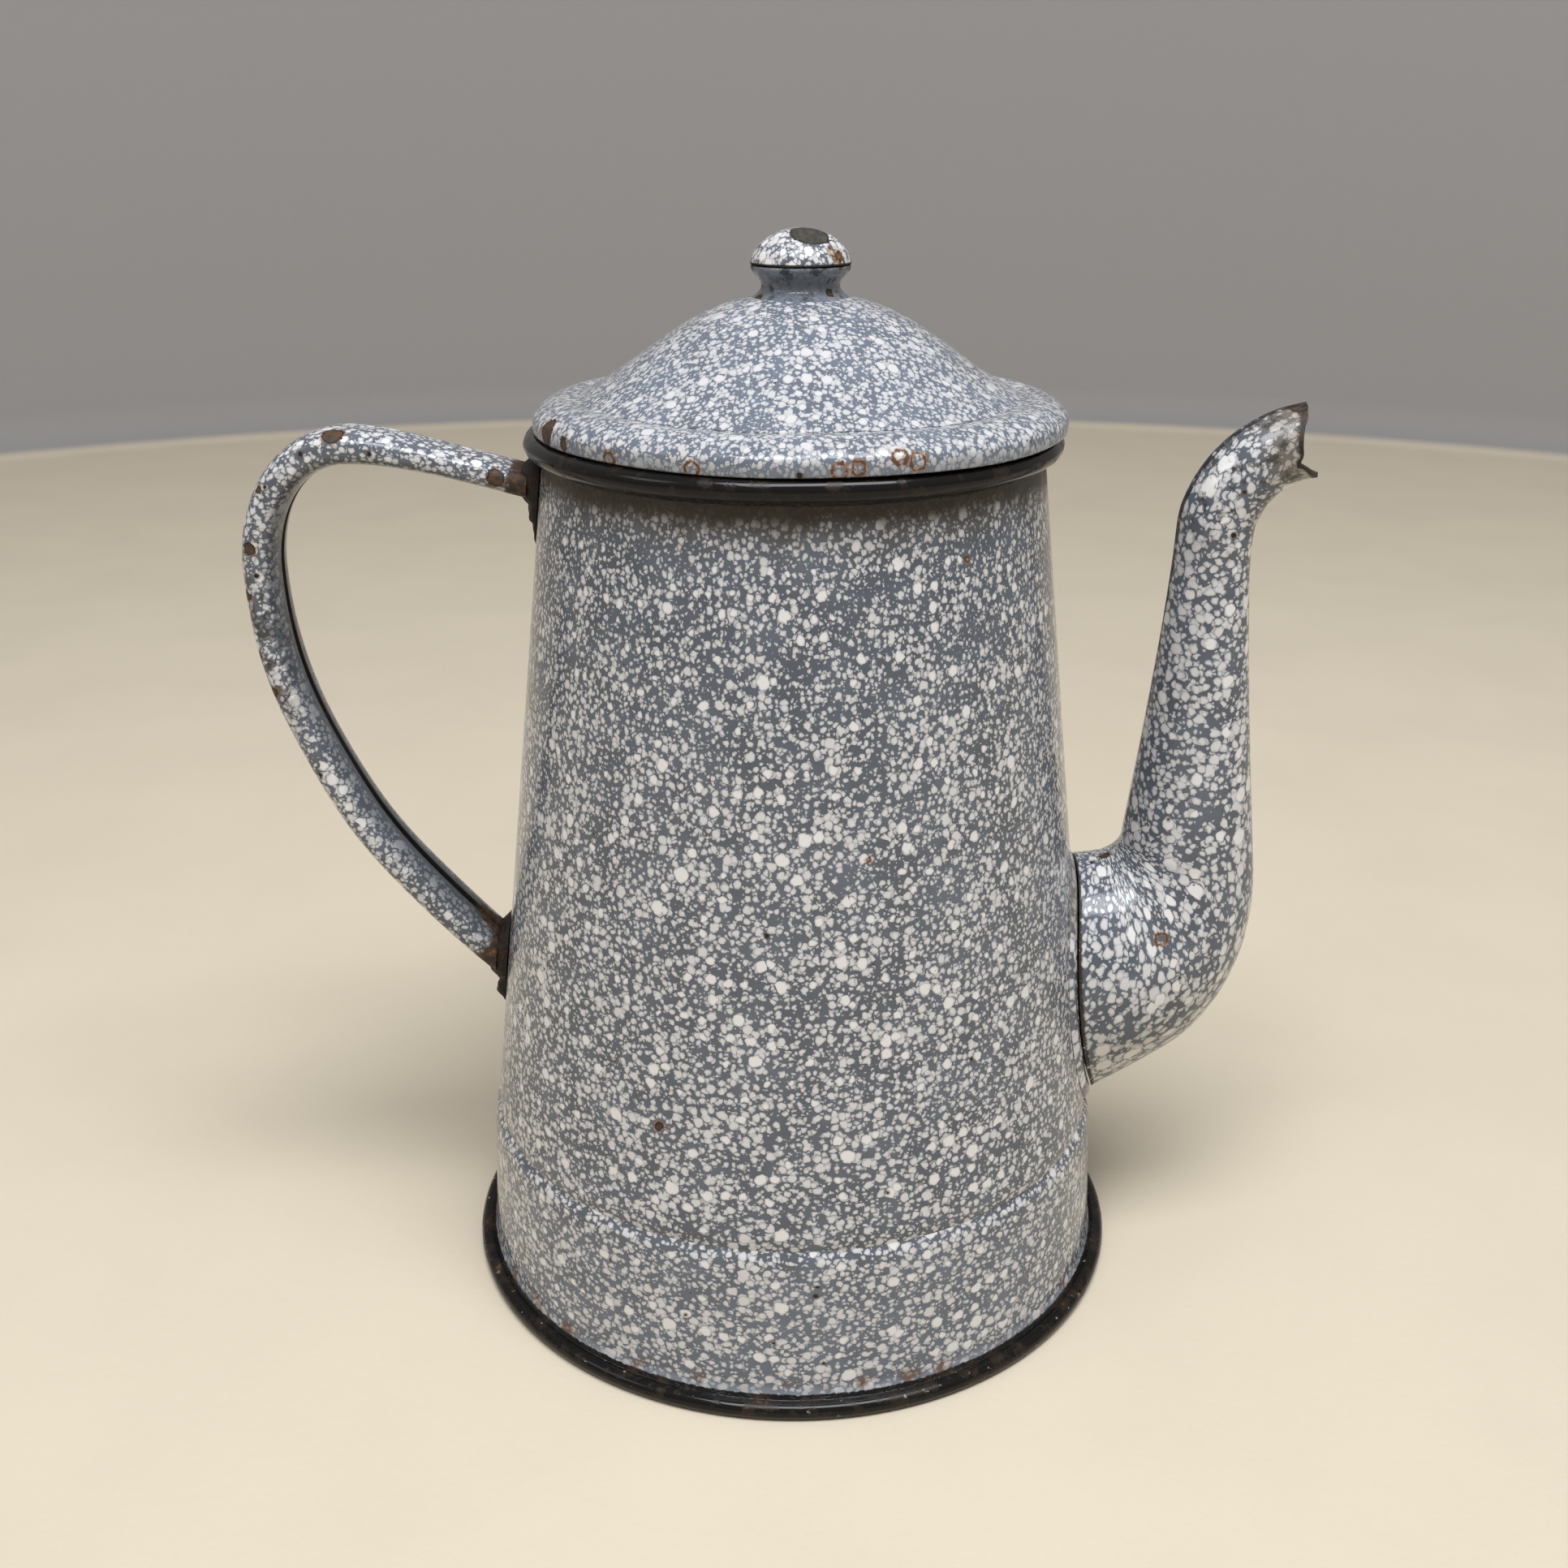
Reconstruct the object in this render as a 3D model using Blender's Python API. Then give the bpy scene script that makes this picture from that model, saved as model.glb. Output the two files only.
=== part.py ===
"""Enamelled sheet-steel coffee percolator with a gooseneck spout, a strap handle and a loose lid.

Metres, +Z up. The pot's axis stands a little to +X of the origin, so that the origin is the
middle of the whole outline. The spout points to +X and the handle to -X.
"""
import math

import bmesh
import bpy
from mathutils import Matrix, Vector

MM = 0.001
AXIS_X = 3.5 * MM          # the pot's axis
WALL = 0.9 * MM            # enamelled sheet
GAP = 0.3 * MM             # clearance between neighbouring pieces
SEGMENTS = 36

# body cone, rim and foot
BODY_LOW_Z, BODY_LOW_R = 38.0 * MM, 66.7 * MM
BODY_TOP_Z, BODY_TOP_R = 180.6 * MM, 49.85 * MM
NECK_R, NECK_LOW_Z, NECK_TOP_Z = 66.0 * MM, 27.5 * MM, 34.6 * MM
RIM_R, RIM_Z, RIM_BEAD_R = 51.3 * MM, 182.6 * MM, 2.1 * MM
FOOT_R, FOOT_Z, FOOT_BEAD_R = 71.2 * MM, 1.7 * MM, 1.8 * MM
SHOULDER_R, SHOULDER_Z = 67.75 * MM, 31.0 * MM
FLOOR_Z, FLOOR_RISE = 28.4 * MM, 2.0 * MM

# strainer behind the spout
STRAINER_HOLE_R, STRAINER_PITCH, STRAINER_Z = 2.5 * MM, 8.0 * MM, 66.0 * MM

# spout: an elbow fanned about the crotch, a straight riser, a bend fanned about the neck
ROOT_Z, ROOT_HALF_Z, ROOT_HALF_Y = 63.1 * MM, 27.2 * MM, 21.5 * MM
CROTCH_X, CROTCH_Z, CROTCH_R = 66.3 * MM, 96.5 * MM, 5.7 * MM
ELBOW_LOW_R, ELBOW_HIGH_R = 57.3 * MM, 33.6 * MM
NECK_X, NECK_Z, NECK_HALF = 85.6 * MM, 157.0 * MM, 7.8 * MM
BEND_X, BEND_Z, TIP_HALF, TIP_DRIFT = 105.6 * MM, 161.5 * MM, 7.5 * MM, 0.7 * MM
BEND_STEPS = 7
BEND_START, MOUTH_ANGLE, NOTCH_ANGLE, LIP_ANGLE = 180.0, 99.0, 110.0, 91.0

# handle: three curves end to end in the XZ plane, and its rolled section
HANDLE_TOP = (-52.95 * MM, 173.8 * MM)
HANDLE_CREST = (-89.0 * MM, 181.2 * MM)
HANDLE_OUTER = (-108.3 * MM, 156.0 * MM)
HANDLE_END = (-65.4 * MM, 69.0 * MM)
STRAP_HALF_WIDTH, STRAP_THIN, STRAP_DEEP = 7.2 * MM, 3.0 * MM, 3.7 * MM
STRAP_SLOT = 1.3 * MM
LUG_DEPTH = 1.6 * MM

# lid, collar and knob
LID_SHIFT = 1.3 * MM       # the lid lies a little off centre in its loose seat
DOME_TOP_Z, DOME_R, DOME_LOW_Z = 210.3 * MM, 50.0 * MM, 190.2 * MM
BRIM_R, BRIM_Z = 43.5 * MM, 191.4 * MM
LID_R, LID_LIP_Z = 52.7 * MM, 185.0 * MM
COLLAR_R, COLLAR_LOW_Z = 46.0 * MM, 176.0 * MM
KNOB_R, KNOB_NECK_R, KNOB_SEAM_Z, KNOB_TOP_Z = 9.75 * MM, 7.6 * MM, 215.9 * MM, 222.4 * MM
RIVET_R, RIVET_HOLE_R = 1.9 * MM, 2.2 * MM

# pump, basket and spreader
TUBE_R, TUBE_BORE_R, TUBE_LOW_Z, TUBE_TOP_Z = 3.5 * MM, 2.7 * MM, 36.0 * MM, 188.0 * MM
BELL_R, BELL_Z, BELL_TOP_Z = 22.0 * MM, 30.1 * MM, 56.0 * MM
STOP_Z, STOP_R = 116.0 * MM, 7.5 * MM
BASKET_R, BASKET_Z, BASKET_TOP_Z = 36.0 * MM, 119.0 * MM, 163.0 * MM
SLEEVE_R = 5.0 * MM
BASKET_HOLE_R, SPREADER_HOLE_R = 1.3 * MM, 1.0 * MM

SPOUT_COLOUR, INSIDE_COLOUR = (0.28, 0.29, 0.31), (0.50, 0.50, 0.48)


def clear_scene():
    for item in list(bpy.data.objects):
        bpy.data.objects.remove(item, do_unlink=True)
    for store in (bpy.data.meshes, bpy.data.materials):
        for item in list(store):
            store.remove(item)


def material(name, colour, roughness, metallic=0.0):
    made = bpy.data.materials.new(name)
    made.use_nodes = True
    shader = made.node_tree.nodes["Principled BSDF"]
    shader.inputs["Base Color"].default_value = (*colour, 1.0)
    shader.inputs["Roughness"].default_value = roughness
    shader.inputs["Metallic"].default_value = metallic
    return made


def enamel(name, colour=(0.30, 0.31, 0.33)):
    """Glossy enamel; the colour is the average of the grey ground and the white drops on it."""
    return material(name, colour, 0.22)


def bare_metal(name):
    return material(name, (0.60, 0.60, 0.58), 0.35, 1.0)


def node(name, verts, faces, skin, smooth=True):
    """One closed piece with outward normals, from points in metres."""
    mesh = bpy.data.meshes.new(name)
    mesh.from_pydata([tuple(v) for v in verts], [], [tuple(f) for f in faces])
    shape = bmesh.new()
    shape.from_mesh(mesh)
    bmesh.ops.remove_doubles(shape, verts=shape.verts, dist=1e-6)
    bmesh.ops.dissolve_degenerate(shape, edges=shape.edges, dist=1e-7)
    bmesh.ops.recalc_face_normals(shape, faces=shape.faces)
    shape.to_mesh(mesh)
    shape.free()
    for face in mesh.polygons:
        face.use_smooth = smooth
    mesh.materials.append(skin)
    made = bpy.data.objects.new(name, mesh)
    bpy.context.scene.collection.objects.link(made)
    return made


def lathe(name, profile, skin, centre_x=AXIS_X, segments=SEGMENTS):
    """A closed (radius, height) loop turned about a vertical axis; radius 0 points join up."""
    count = len(profile)
    verts = [
        (centre_x + r * math.cos(a), r * math.sin(a), z)
        for a in (2 * math.pi * i / segments for i in range(segments))
        for r, z in profile
    ]
    faces = []
    for i in range(segments):
        for j in range(count):
            k = (j + 1) % count
            if profile[j][0] < 1e-9 and profile[k][0] < 1e-9:
                continue
            here, there = i * count, ((i + 1) % segments) * count
            faces.append((here + j, here + k, there + k, there + j))
    return node(name, verts, faces, skin)


def arc(centre, radius, start, end, steps):
    """Points on a circle from one angle in degrees to another."""
    return [
        (centre[0] + radius * math.cos(math.radians(a)), centre[1] + radius * math.sin(math.radians(a)))
        for a in (start + (end - start) * i / steps for i in range(steps + 1))
    ]


def cone_r(z):
    """The body's outer radius at a height."""
    return BODY_LOW_R + (BODY_TOP_R - BODY_LOW_R) * (z - BODY_LOW_Z) / (BODY_TOP_Z - BODY_LOW_Z)


def cut(target, cutter):
    """Subtract one piece and keep the cutter out of the model."""
    change = target.modifiers.new("cut", "BOOLEAN")
    change.operation, change.solver, change.object = "DIFFERENCE", "EXACT", cutter
    cutter.hide_render = True
    cutter.display_type = "WIRE"


def rods(name, places, radius, direction, length, sides=10):
    """Parallel or radial cutter rods as one object: places are rod centres, direction per place."""
    verts, faces = [], []
    for place, way in zip(places, direction):
        along = Vector(way).normalized()
        across = along.orthogonal().normalized()
        other = along.cross(across)
        first = len(verts)
        for end in (-0.5, 0.5):
            for i in range(sides):
                a = 2 * math.pi * i / sides
                aside = (across * math.cos(a) + other * math.sin(a)) * radius
                verts.append(Vector(place) + along * (end * length) + aside)
        faces.append([first + i for i in range(sides)])
        faces.append([first + sides + i for i in reversed(range(sides))])
        for i in range(sides):
            j = (i + 1) % sides
            faces.append((first + i, first + j, first + sides + j, first + sides + i))
    return node(name, verts, faces, material(name, (1, 0, 0), 0.5), smooth=False)


def body_shell():
    """The cone with its curled rim, swaged lower edge and punched strainer."""
    centre = (RIM_R, RIM_Z)
    outside = [(NECK_R, NECK_LOW_Z), (NECK_R, NECK_TOP_Z)]
    outside += [(BODY_LOW_R, BODY_LOW_Z), (BODY_TOP_R, BODY_TOP_Z)]
    hook = arc(centre, RIM_BEAD_R - WALL, 180, -110, 6) + arc(centre, RIM_BEAD_R, -110, 180, 8)
    inside = [
        (BODY_LOW_R - WALL, BODY_LOW_Z),
        (NECK_R - WALL, NECK_TOP_Z),
        (NECK_R - WALL, NECK_LOW_Z),
    ]
    shell = lathe("body_shell", outside + hook + inside, enamel("enamel_body"))
    rows = ((-1.5, 2), (-0.5, 3), (0.5, 4), (1.5, 3), (2.5, 2))
    wall_x = AXIS_X + cone_r(STRAINER_Z)
    places = [
        (wall_x, (i - (count - 1) / 2) * STRAINER_PITCH, STRAINER_Z + row * STRAINER_PITCH)
        for row, count in rows
        for i in range(count)
    ]
    ways = [(1, 0, 0)] * len(places)
    cut(shell, rods("strainer_cut", places, STRAINER_HOLE_R, ways, 20 * MM, 8))
    return shell


def foot_ring():
    """The skirt; its rolled edge is worn flat underneath."""
    centre = (FOOT_R, FOOT_Z)
    lip = NECK_R + GAP
    outside = [(lip + 0.5 * MM, 34.3 * MM), (lip + WALL, 33.6 * MM)]
    outside += [(SHOULDER_R - 0.1 * MM, 32.6 * MM), (SHOULDER_R, SHOULDER_Z)]
    worn = [(FOOT_R + 0.8 * MM, 0.0), (FOOT_R - 0.8 * MM, 0.0)]
    hook = arc(centre, FOOT_BEAD_R - WALL, 180, 465, 6)
    hook += arc(centre, FOOT_BEAD_R, 465, 310, 5) + worn + arc(centre, FOOT_BEAD_R, 230, 180, 2)
    inside = [(SHOULDER_R - WALL, SHOULDER_Z - 1.5 * MM), (lip, 29.5 * MM), (lip, 34.3 * MM)]
    return lathe("foot_ring", outside + hook + inside, enamel("enamel_foot"))


def wire(name, radius, height, bead):
    """The wire that a curl is rolled around."""
    return lathe(name, arc((radius, height), bead - WALL - GAP, 0, 300, 5), bare_metal(name))


def base_plate():
    """The pot's floor, slightly domed, with an upturned edge inside the body."""
    edge = NECK_R - WALL - GAP
    under, over = FLOOR_Z - WALL, FLOOR_Z
    profile = [(0, over + FLOOR_RISE), (0, under + FLOOR_RISE), (edge - 5 * MM, under), (edge, under)]
    profile += [(edge, under + 6 * MM), (edge - WALL, under + 6 * MM)]
    profile += [(edge - WALL, over), (edge - 5 * MM, over)]
    return lathe("base_plate", profile, enamel("enamel_base", INSIDE_COLOUR))


def elbow_reach(t):
    """Distance from the crotch centre to the belly, from root (0) to riser (1)."""
    left = 1 - t
    swell = 0.4 * left + 0.6 * (left * left * (3 - 2 * left)) ** 1.15
    return ELBOW_HIGH_R + (ELBOW_LOW_R - ELBOW_HIGH_R) * swell


def spout_stations():
    """Sections along the spout: centre, in-plane direction of its inner side, two half sizes."""
    found = []
    for t in (0.14 + 0.86 * i / 6 for i in range(7)):
        a = math.radians(-90 + 90 * t)
        out = Vector((math.cos(a), 0, math.sin(a)))
        reach = elbow_reach(t)
        middle = Vector((CROTCH_X, 0, CROTCH_Z)) + out * (CROTCH_R + reach) / 2
        half = (reach - CROTCH_R) / 2
        found.append((middle, -out, half, half + (1 - t) * (ROOT_HALF_Y - ROOT_HALF_Z) * 0.75))
    low = (CROTCH_R + ELBOW_HIGH_R) / 2 + CROTCH_X
    first = (ELBOW_HIGH_R - CROTCH_R) / 2
    for t in (i / 4 for i in range(1, 5)):
        half = NECK_HALF + (first - NECK_HALF) * (1 - t) ** 1.2
        spot = Vector((low + (NECK_X - low) * t, 0, CROTCH_Z + (NECK_Z - CROTCH_Z) * t))
        found.append((spot, Vector((-1, 0, 0)), half, half))
    return found


def bend_point(angle, half, drift, around, offset):
    """A point of the bend: fan angle, section half size and position around the section."""
    a = math.radians(angle)
    reach = (BEND_X - NECK_X) + drift + (half + offset) * math.cos(around)
    side = (half + offset) * math.sin(around)
    return Vector((BEND_X + reach * math.cos(a), side, BEND_Z + reach * math.sin(a)))


def mouth_angle(around):
    """Where the mouth is cut, from the top (0) round to the pointed lower lip (pi)."""
    turn = math.degrees(around)
    if turn < 112:
        return MOUTH_ANGLE + (NOTCH_ANGLE - MOUTH_ANGLE) * (turn / 112) ** 1.5
    return NOTCH_ANGLE + (LIP_ANGLE - NOTCH_ANGLE) * ((turn - 112) / 68) ** 0.8


def spout_ring(index, stations, around, offset):
    """One point of the spout's outer (offset 0) or inner (offset -WALL) skin."""
    if index == 0:
        y = (ROOT_HALF_Y + offset) * math.sin(around)
        z = ROOT_Z + (ROOT_HALF_Z + offset) * math.cos(around)
        return Vector((math.sqrt((cone_r(z) + WALL + 2 * GAP) ** 2 - y * y), y, z))
    if index <= len(stations):
        middle, inner, half, half_y = stations[index - 1]
        aside = Vector((0, (half_y + offset) * math.sin(around), 0))
        return middle + inner * (half + offset) * math.cos(around) + aside
    t = (index - len(stations)) / BEND_STEPS
    half = NECK_HALF + (TIP_HALF - NECK_HALF) * t
    angle = BEND_START + (mouth_angle(around) - BEND_START) * t
    return bend_point(angle, half, TIP_DRIFT * t, around, offset)


def spout_half(name, side):
    """One pressing of the spout: side -1 is the near half, +1 the far half."""
    stations = spout_stations()
    rings, steps = len(stations) + 1 + BEND_STEPS, 10
    verts = []
    for skin in (0.0, -WALL):
        for i in range(rings):
            for j in range(steps + 1):
                spot = spout_ring(i, stations, math.pi * j / steps, skin)
                verts.append((spot.x + AXIS_X, side * max(spot.y, GAP / 2), spot.z))
    row, layer = steps + 1, rings * (steps + 1)
    faces = []
    for i in range(rings - 1):
        for j in range(steps):
            a = i * row + j
            faces.append((a, a + 1, a + row + 1, a + row))
            faces.append((layer + a, layer + a + row, layer + a + row + 1, layer + a + 1))
        for j in (0, steps):
            a = i * row + j
            faces.append((a, a + row, layer + a + row, layer + a))
    for i in (0, rings - 1):
        for j in range(steps):
            a = i * row + j
            faces.append((a, a + 1, layer + a + 1, layer + a))
    return node(name, verts, faces, enamel("enamel_" + name, SPOUT_COLOUR))


def spout_collar():
    """A raised ring that follows the cone around the spout's root."""
    steps = 36
    low, edge, top = GAP, GAP + 0.35 * MM, GAP + WALL
    inner, outer = -0.5 * MM, 3.0 * MM
    section = ((low, inner), (low, outer), (edge, outer), (top, 0.8 * MM), (top, inner))
    verts = []
    for lift, grow in section:
        for i in range(steps):
            a = 2 * math.pi * i / steps
            y = (ROOT_HALF_Y + grow) * math.sin(a)
            z = ROOT_Z + (ROOT_HALF_Z + grow) * math.cos(a)
            verts.append((AXIS_X + math.sqrt((cone_r(z) + lift) ** 2 - y * y), y, z))
    faces = []
    for k in range(len(section)):
        here, there = k * steps, ((k + 1) % len(section)) * steps
        for i in range(steps):
            j = (i + 1) % steps
            faces.append((here + i, here + j, there + j, there + i))
    return node("spout_collar", verts, faces, enamel("enamel_collar", SPOUT_COLOUR))


def bezier(a, b, c, d, t):
    """A point of the curve pulled by four points."""
    s = 1 - t
    shares = (s**3, 3 * s * s * t, 3 * s * t * t, t**3)
    return tuple(sum(share * p[axis] for share, p in zip(shares, (a, b, c, d))) for axis in (0, 1))


def handle_path(steps=6):
    """The strap's centre line from the rim to the lower lug."""
    top, crest, outer, end = HANDLE_TOP, HANDLE_CREST, HANDLE_OUTER, HANDLE_END
    pieces = (
        (top, (top[0] - 12 * MM, top[1] + 3 * MM), (crest[0] + 10 * MM, crest[1]), crest),
        (crest, (crest[0] - 11.5 * MM, crest[1]), (outer[0], outer[1] + 14 * MM), outer),
        (outer, (outer[0], outer[1] - 27 * MM), (end[0] - 32 * MM, end[1] + 31 * MM), end),
    )
    line = [bezier(*piece, i / steps) for piece in pieces for i in range(steps)]
    return line + [end]


def strap_section(half_depth):
    """The wall's middle line across the strap: (across, outward) points with rolled edges."""
    start = math.asin(STRAP_SLOT / STRAP_HALF_WIDTH)
    points = []
    for i in range(13):
        a = -math.pi / 2 + start + (2 * math.pi - 2 * start) * i / 12
        across, outward = math.cos(a), math.sin(a)
        points.append((
            math.copysign(abs(across) ** 0.8, across) * (STRAP_HALF_WIDTH - WALL / 2),
            math.copysign(abs(outward) ** 0.7, outward) * (half_depth - WALL / 2),
        ))
    return points


def ribbon(points, thickness):
    """A closed loop of the given thickness around an open line."""
    left, right = [], []
    for i, (x, y) in enumerate(points):
        before, after = points[max(i - 1, 0)], points[min(i + 1, len(points) - 1)]
        along = Vector((after[0] - before[0], after[1] - before[1])).normalized()
        left.append((x - along.y * thickness / 2, y + along.x * thickness / 2))
        right.append((x + along.y * thickness / 2, y - along.x * thickness / 2))
    return left + right[::-1]


def wall_slant():
    """Unit direction up the wall on the handle's side."""
    return Vector((BODY_LOW_R - BODY_TOP_R, 0, BODY_TOP_Z - BODY_LOW_Z)).normalized()


def sweep(name, path, section_at, skin):
    """Loft a section along a line in the XZ plane; both ends are closed and mitred to the wall."""
    verts, faces, count = [], [], 0
    for i, (x, z) in enumerate(path):
        before, after = path[max(i - 1, 0)], path[min(i + 1, len(path) - 1)]
        along = Vector((after[0] - before[0], 0, after[1] - before[1])).normalized()
        outward = Vector((0, 1, 0)).cross(along)
        if i in (0, len(path) - 1):
            outward = wall_slant() / wall_slant().dot(outward)
        section = section_at(i / (len(path) - 1))
        count = len(section)
        for across, out in section:
            verts.append(Vector((x + AXIS_X, 0, z)) + Vector((0, across, 0)) + outward * out)
    for i in range(len(path) - 1):
        for j in range(count):
            k = (j + 1) % count
            faces.append((i * count + j, i * count + k, (i + 1) * count + k, (i + 1) * count + j))
    half = count // 2
    for base in (0, (len(path) - 1) * count):
        for j in range(half - 1):
            faces.append((base + j, base + j + 1, base + count - 2 - j, base + count - 1 - j))
    return node(name, verts, faces, skin)


def strap_depth(t):
    """Thin beside the rim, deeper through the grip."""
    ramp = min(1.0, max(0.0, (t - 0.12) / 0.3))
    return STRAP_THIN + (STRAP_DEEP - STRAP_THIN) * ramp * ramp * (3 - 2 * ramp)


def handle_strap():
    """The grip: a strap whose edges are rolled in until they nearly meet."""
    def section_at(t):
        return ribbon(strap_section(strap_depth(t)), WALL)

    return sweep("handle_strap", handle_path(), section_at, enamel("enamel_handle", (0.33, 0.34, 0.36)))


def lug(name, low_z, high_z, half_width, tip_half, end, lead, depth):
    """A tongue flat on the wall, tapering downwards, with a stub that enters the strap."""
    rows, cols = 6, 6
    verts = []
    for lift in (GAP, GAP + depth):
        for i in range(rows + 1):
            t = i / rows
            z = low_z + (high_z - low_z) * t
            half = tip_half + (half_width - tip_half) * min(1.0, t * 2.2)
            thick = lift if lift == GAP else GAP + depth * min(1.0, 0.35 + 1.3 * t)
            for j in range(cols + 1):
                y = half * (2 * j / cols - 1)
                verts.append((AXIS_X - math.sqrt((cone_r(z) + thick) ** 2 - y * y), y, z))
    row, layer = cols + 1, (rows + 1) * (cols + 1)
    faces = []
    for i in range(rows):
        for j in range(cols):
            a = i * row + j
            faces.append((a, a + 1, a + row + 1, a + row))
            faces.append((layer + a, layer + a + row, layer + a + row + 1, layer + a + 1))
    rim = [j for j in range(row)] + [i * row + cols for i in range(1, rows + 1)]
    rim += [rows * row + j for j in range(cols - 1, -1, -1)] + [i * row for i in range(rows - 1, 0, -1)]
    for i, a in enumerate(rim):
        b = rim[(i + 1) % len(rim)]
        faces.append((a, b, layer + b, layer + a))
    plate = node(name, verts, faces, material("rusted_" + name, (0.060, 0.035, 0.022), 0.75))
    inward = Vector((end[0] - lead[0], 0, end[1] - lead[1])).normalized()
    root_x = -cone_r(end[1]) - GAP - depth / 2 - 0.5 * MM
    root = Vector((root_x, 0, end[1] + inward.z / inward.x * (root_x - end[0])))
    stub_end = Vector((end[0], 0, end[1])) - inward * 7 * MM
    side = Vector((0, 1, 0)).cross(inward)
    corners = [
        spot + Vector((AXIS_X, y * 4.0 * MM, 0)) + side * s * 1.15 * MM
        for spot in (root, stub_end)
        for y, s in ((-1, -1), (1, -1), (1, 1), (-1, 1))
    ]
    quads = [(0, 1, 2, 3), (7, 6, 5, 4)] + [(i, (i + 1) % 4, 4 + (i + 1) % 4, 4 + i) for i in range(4)]
    stub = node(name + "_stub", corners, quads, plate.data.materials[0], smooth=False)
    join = plate.modifiers.new("stub", "BOOLEAN")
    join.operation, join.solver, join.object = "UNION", "EXACT", stub
    stub.hide_render = True
    stub.display_type = "WIRE"
    return plate


def dome_z(r):
    """Height of the lid's top skin inside the brim."""
    return DOME_LOW_Z + (DOME_TOP_Z - DOME_LOW_Z) * (0.5 + 0.5 * math.cos(math.pi * (r / DOME_R) ** 1.3))


def lid_shell():
    """The dome, its brim and the lip turned down at the edge."""
    radii = [RIVET_HOLE_R] + [BRIM_R * i / 9 for i in range(1, 10)]
    top = [(r, dome_z(r)) for r in radii]
    brim = [(47.3 * MM, BRIM_Z - 0.1 * MM), (50.4 * MM, BRIM_Z - 1.6 * MM)]
    brim += [(52.2 * MM, BRIM_Z - 3.3 * MM), (LID_R, BRIM_Z - 4.8 * MM)]
    lip = [(LID_R - 0.2 * MM, LID_LIP_Z), (LID_R - WALL, LID_LIP_Z), (LID_R - 1.5 * MM, BRIM_Z - 4.4 * MM)]
    lip += [(49.9 * MM, BRIM_Z - 2.5 * MM)]
    under = [(47.1 * MM, BRIM_Z - 1.1 * MM)] + [(r, z - WALL) for r, z in reversed(top)]
    skin = enamel("enamel_lid", (0.34, 0.36, 0.39))
    return lathe("lid_shell", top + brim + lip + under, skin, AXIS_X + LID_SHIFT)


def lid_collar():
    """The sleeve under the lid that drops into the pot's mouth."""
    inner = COLLAR_R - WALL
    profile = [(COLLAR_R, COLLAR_LOW_Z), (COLLAR_R, BRIM_Z - 1.9 * MM)]
    profile += [(COLLAR_R - 0.8 * MM, BRIM_Z - 1.3 * MM), (COLLAR_R - 3 * MM, BRIM_Z - 1.3 * MM)]
    profile += [(COLLAR_R - 3 * MM, BRIM_Z - 2.2 * MM), (inner, BRIM_Z - 2.2 * MM), (inner, COLLAR_LOW_Z)]
    return lathe("lid_collar", profile, enamel("enamel_lid_collar", INSIDE_COLOUR), AXIS_X + LID_SHIFT)


def knob_neck():
    """The waisted stem, open inside, closed below by a pierced web."""
    z = DOME_TOP_Z
    outside = [(KNOB_NECK_R + 1.1 * MM, z - 0.2 * MM), (KNOB_NECK_R, z + 1.1 * MM)]
    outside += [(KNOB_NECK_R, z + 2.0 * MM), (KNOB_R - 0.9 * MM, z + 3.4 * MM)]
    outside += [(KNOB_R - 0.1 * MM, z + 4.4 * MM), (KNOB_R, KNOB_SEAM_Z - GAP)]
    inside = [(KNOB_R - WALL, KNOB_SEAM_Z - GAP), (KNOB_R - 1.7 * MM, z + 3.9 * MM)]
    inside += [(KNOB_NECK_R - 0.8 * MM, z + 2.4 * MM), (KNOB_NECK_R - WALL, z + 1.3 * MM)]
    inside += [(RIVET_HOLE_R, z + 1.3 * MM), (RIVET_HOLE_R, z + GAP), (KNOB_NECK_R - 0.5 * MM, z + GAP)]
    skin = enamel("enamel_knob_neck", (0.16, 0.18, 0.21))
    return lathe("knob_neck", outside + inside, skin, AXIS_X + LID_SHIFT, 24)


def cap_dome(radius, rise):
    """The outline of a low dome from its edge to its top."""
    turns = [math.pi / 2 * i / 6 for i in range(6)]
    edge = [(radius * math.cos(a), KNOB_SEAM_Z + rise * math.sin(a) ** 1.15) for a in turns]
    return edge + [(0, KNOB_SEAM_Z + rise)]


def knob_cap():
    """The knob's domed top, which closes the stem."""
    rise = KNOB_TOP_Z - KNOB_SEAM_Z
    outer, inner = cap_dome(KNOB_R, rise), cap_dome(KNOB_R - WALL, rise - WALL)
    skin = enamel("enamel_knob_cap", (0.42, 0.43, 0.44))
    return lathe("knob_cap", outer + inner[::-1], skin, AXIS_X + LID_SHIFT, 24)


def knob_rivet():
    """The rivet that holds the knob to the dome, headed on both sides."""
    under, over = DOME_TOP_Z - WALL - GAP, DOME_TOP_Z + 1.3 * MM + GAP
    profile = [(0, under - 1.6 * MM), (3.4 * MM, under - 1.3 * MM), (4.4 * MM, under - 0.6 * MM)]
    profile += [(4.4 * MM, under), (RIVET_R, under), (RIVET_R, over), (3.4 * MM, over)]
    profile += [(3.2 * MM, over + 0.7 * MM), (0, over + 1.1 * MM)]
    return lathe("knob_rivet", profile, bare_metal("rivet"), AXIS_X + LID_SHIFT, 20)


def pump_tube():
    """The tube that the boiling water climbs."""
    profile = [(TUBE_R, TUBE_LOW_Z), (TUBE_R, TUBE_TOP_Z)]
    profile += [(TUBE_BORE_R, TUBE_TOP_Z), (TUBE_BORE_R, TUBE_LOW_Z)]
    return lathe("pump_tube", profile, bare_metal("pump_tube"), segments=24)


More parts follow.
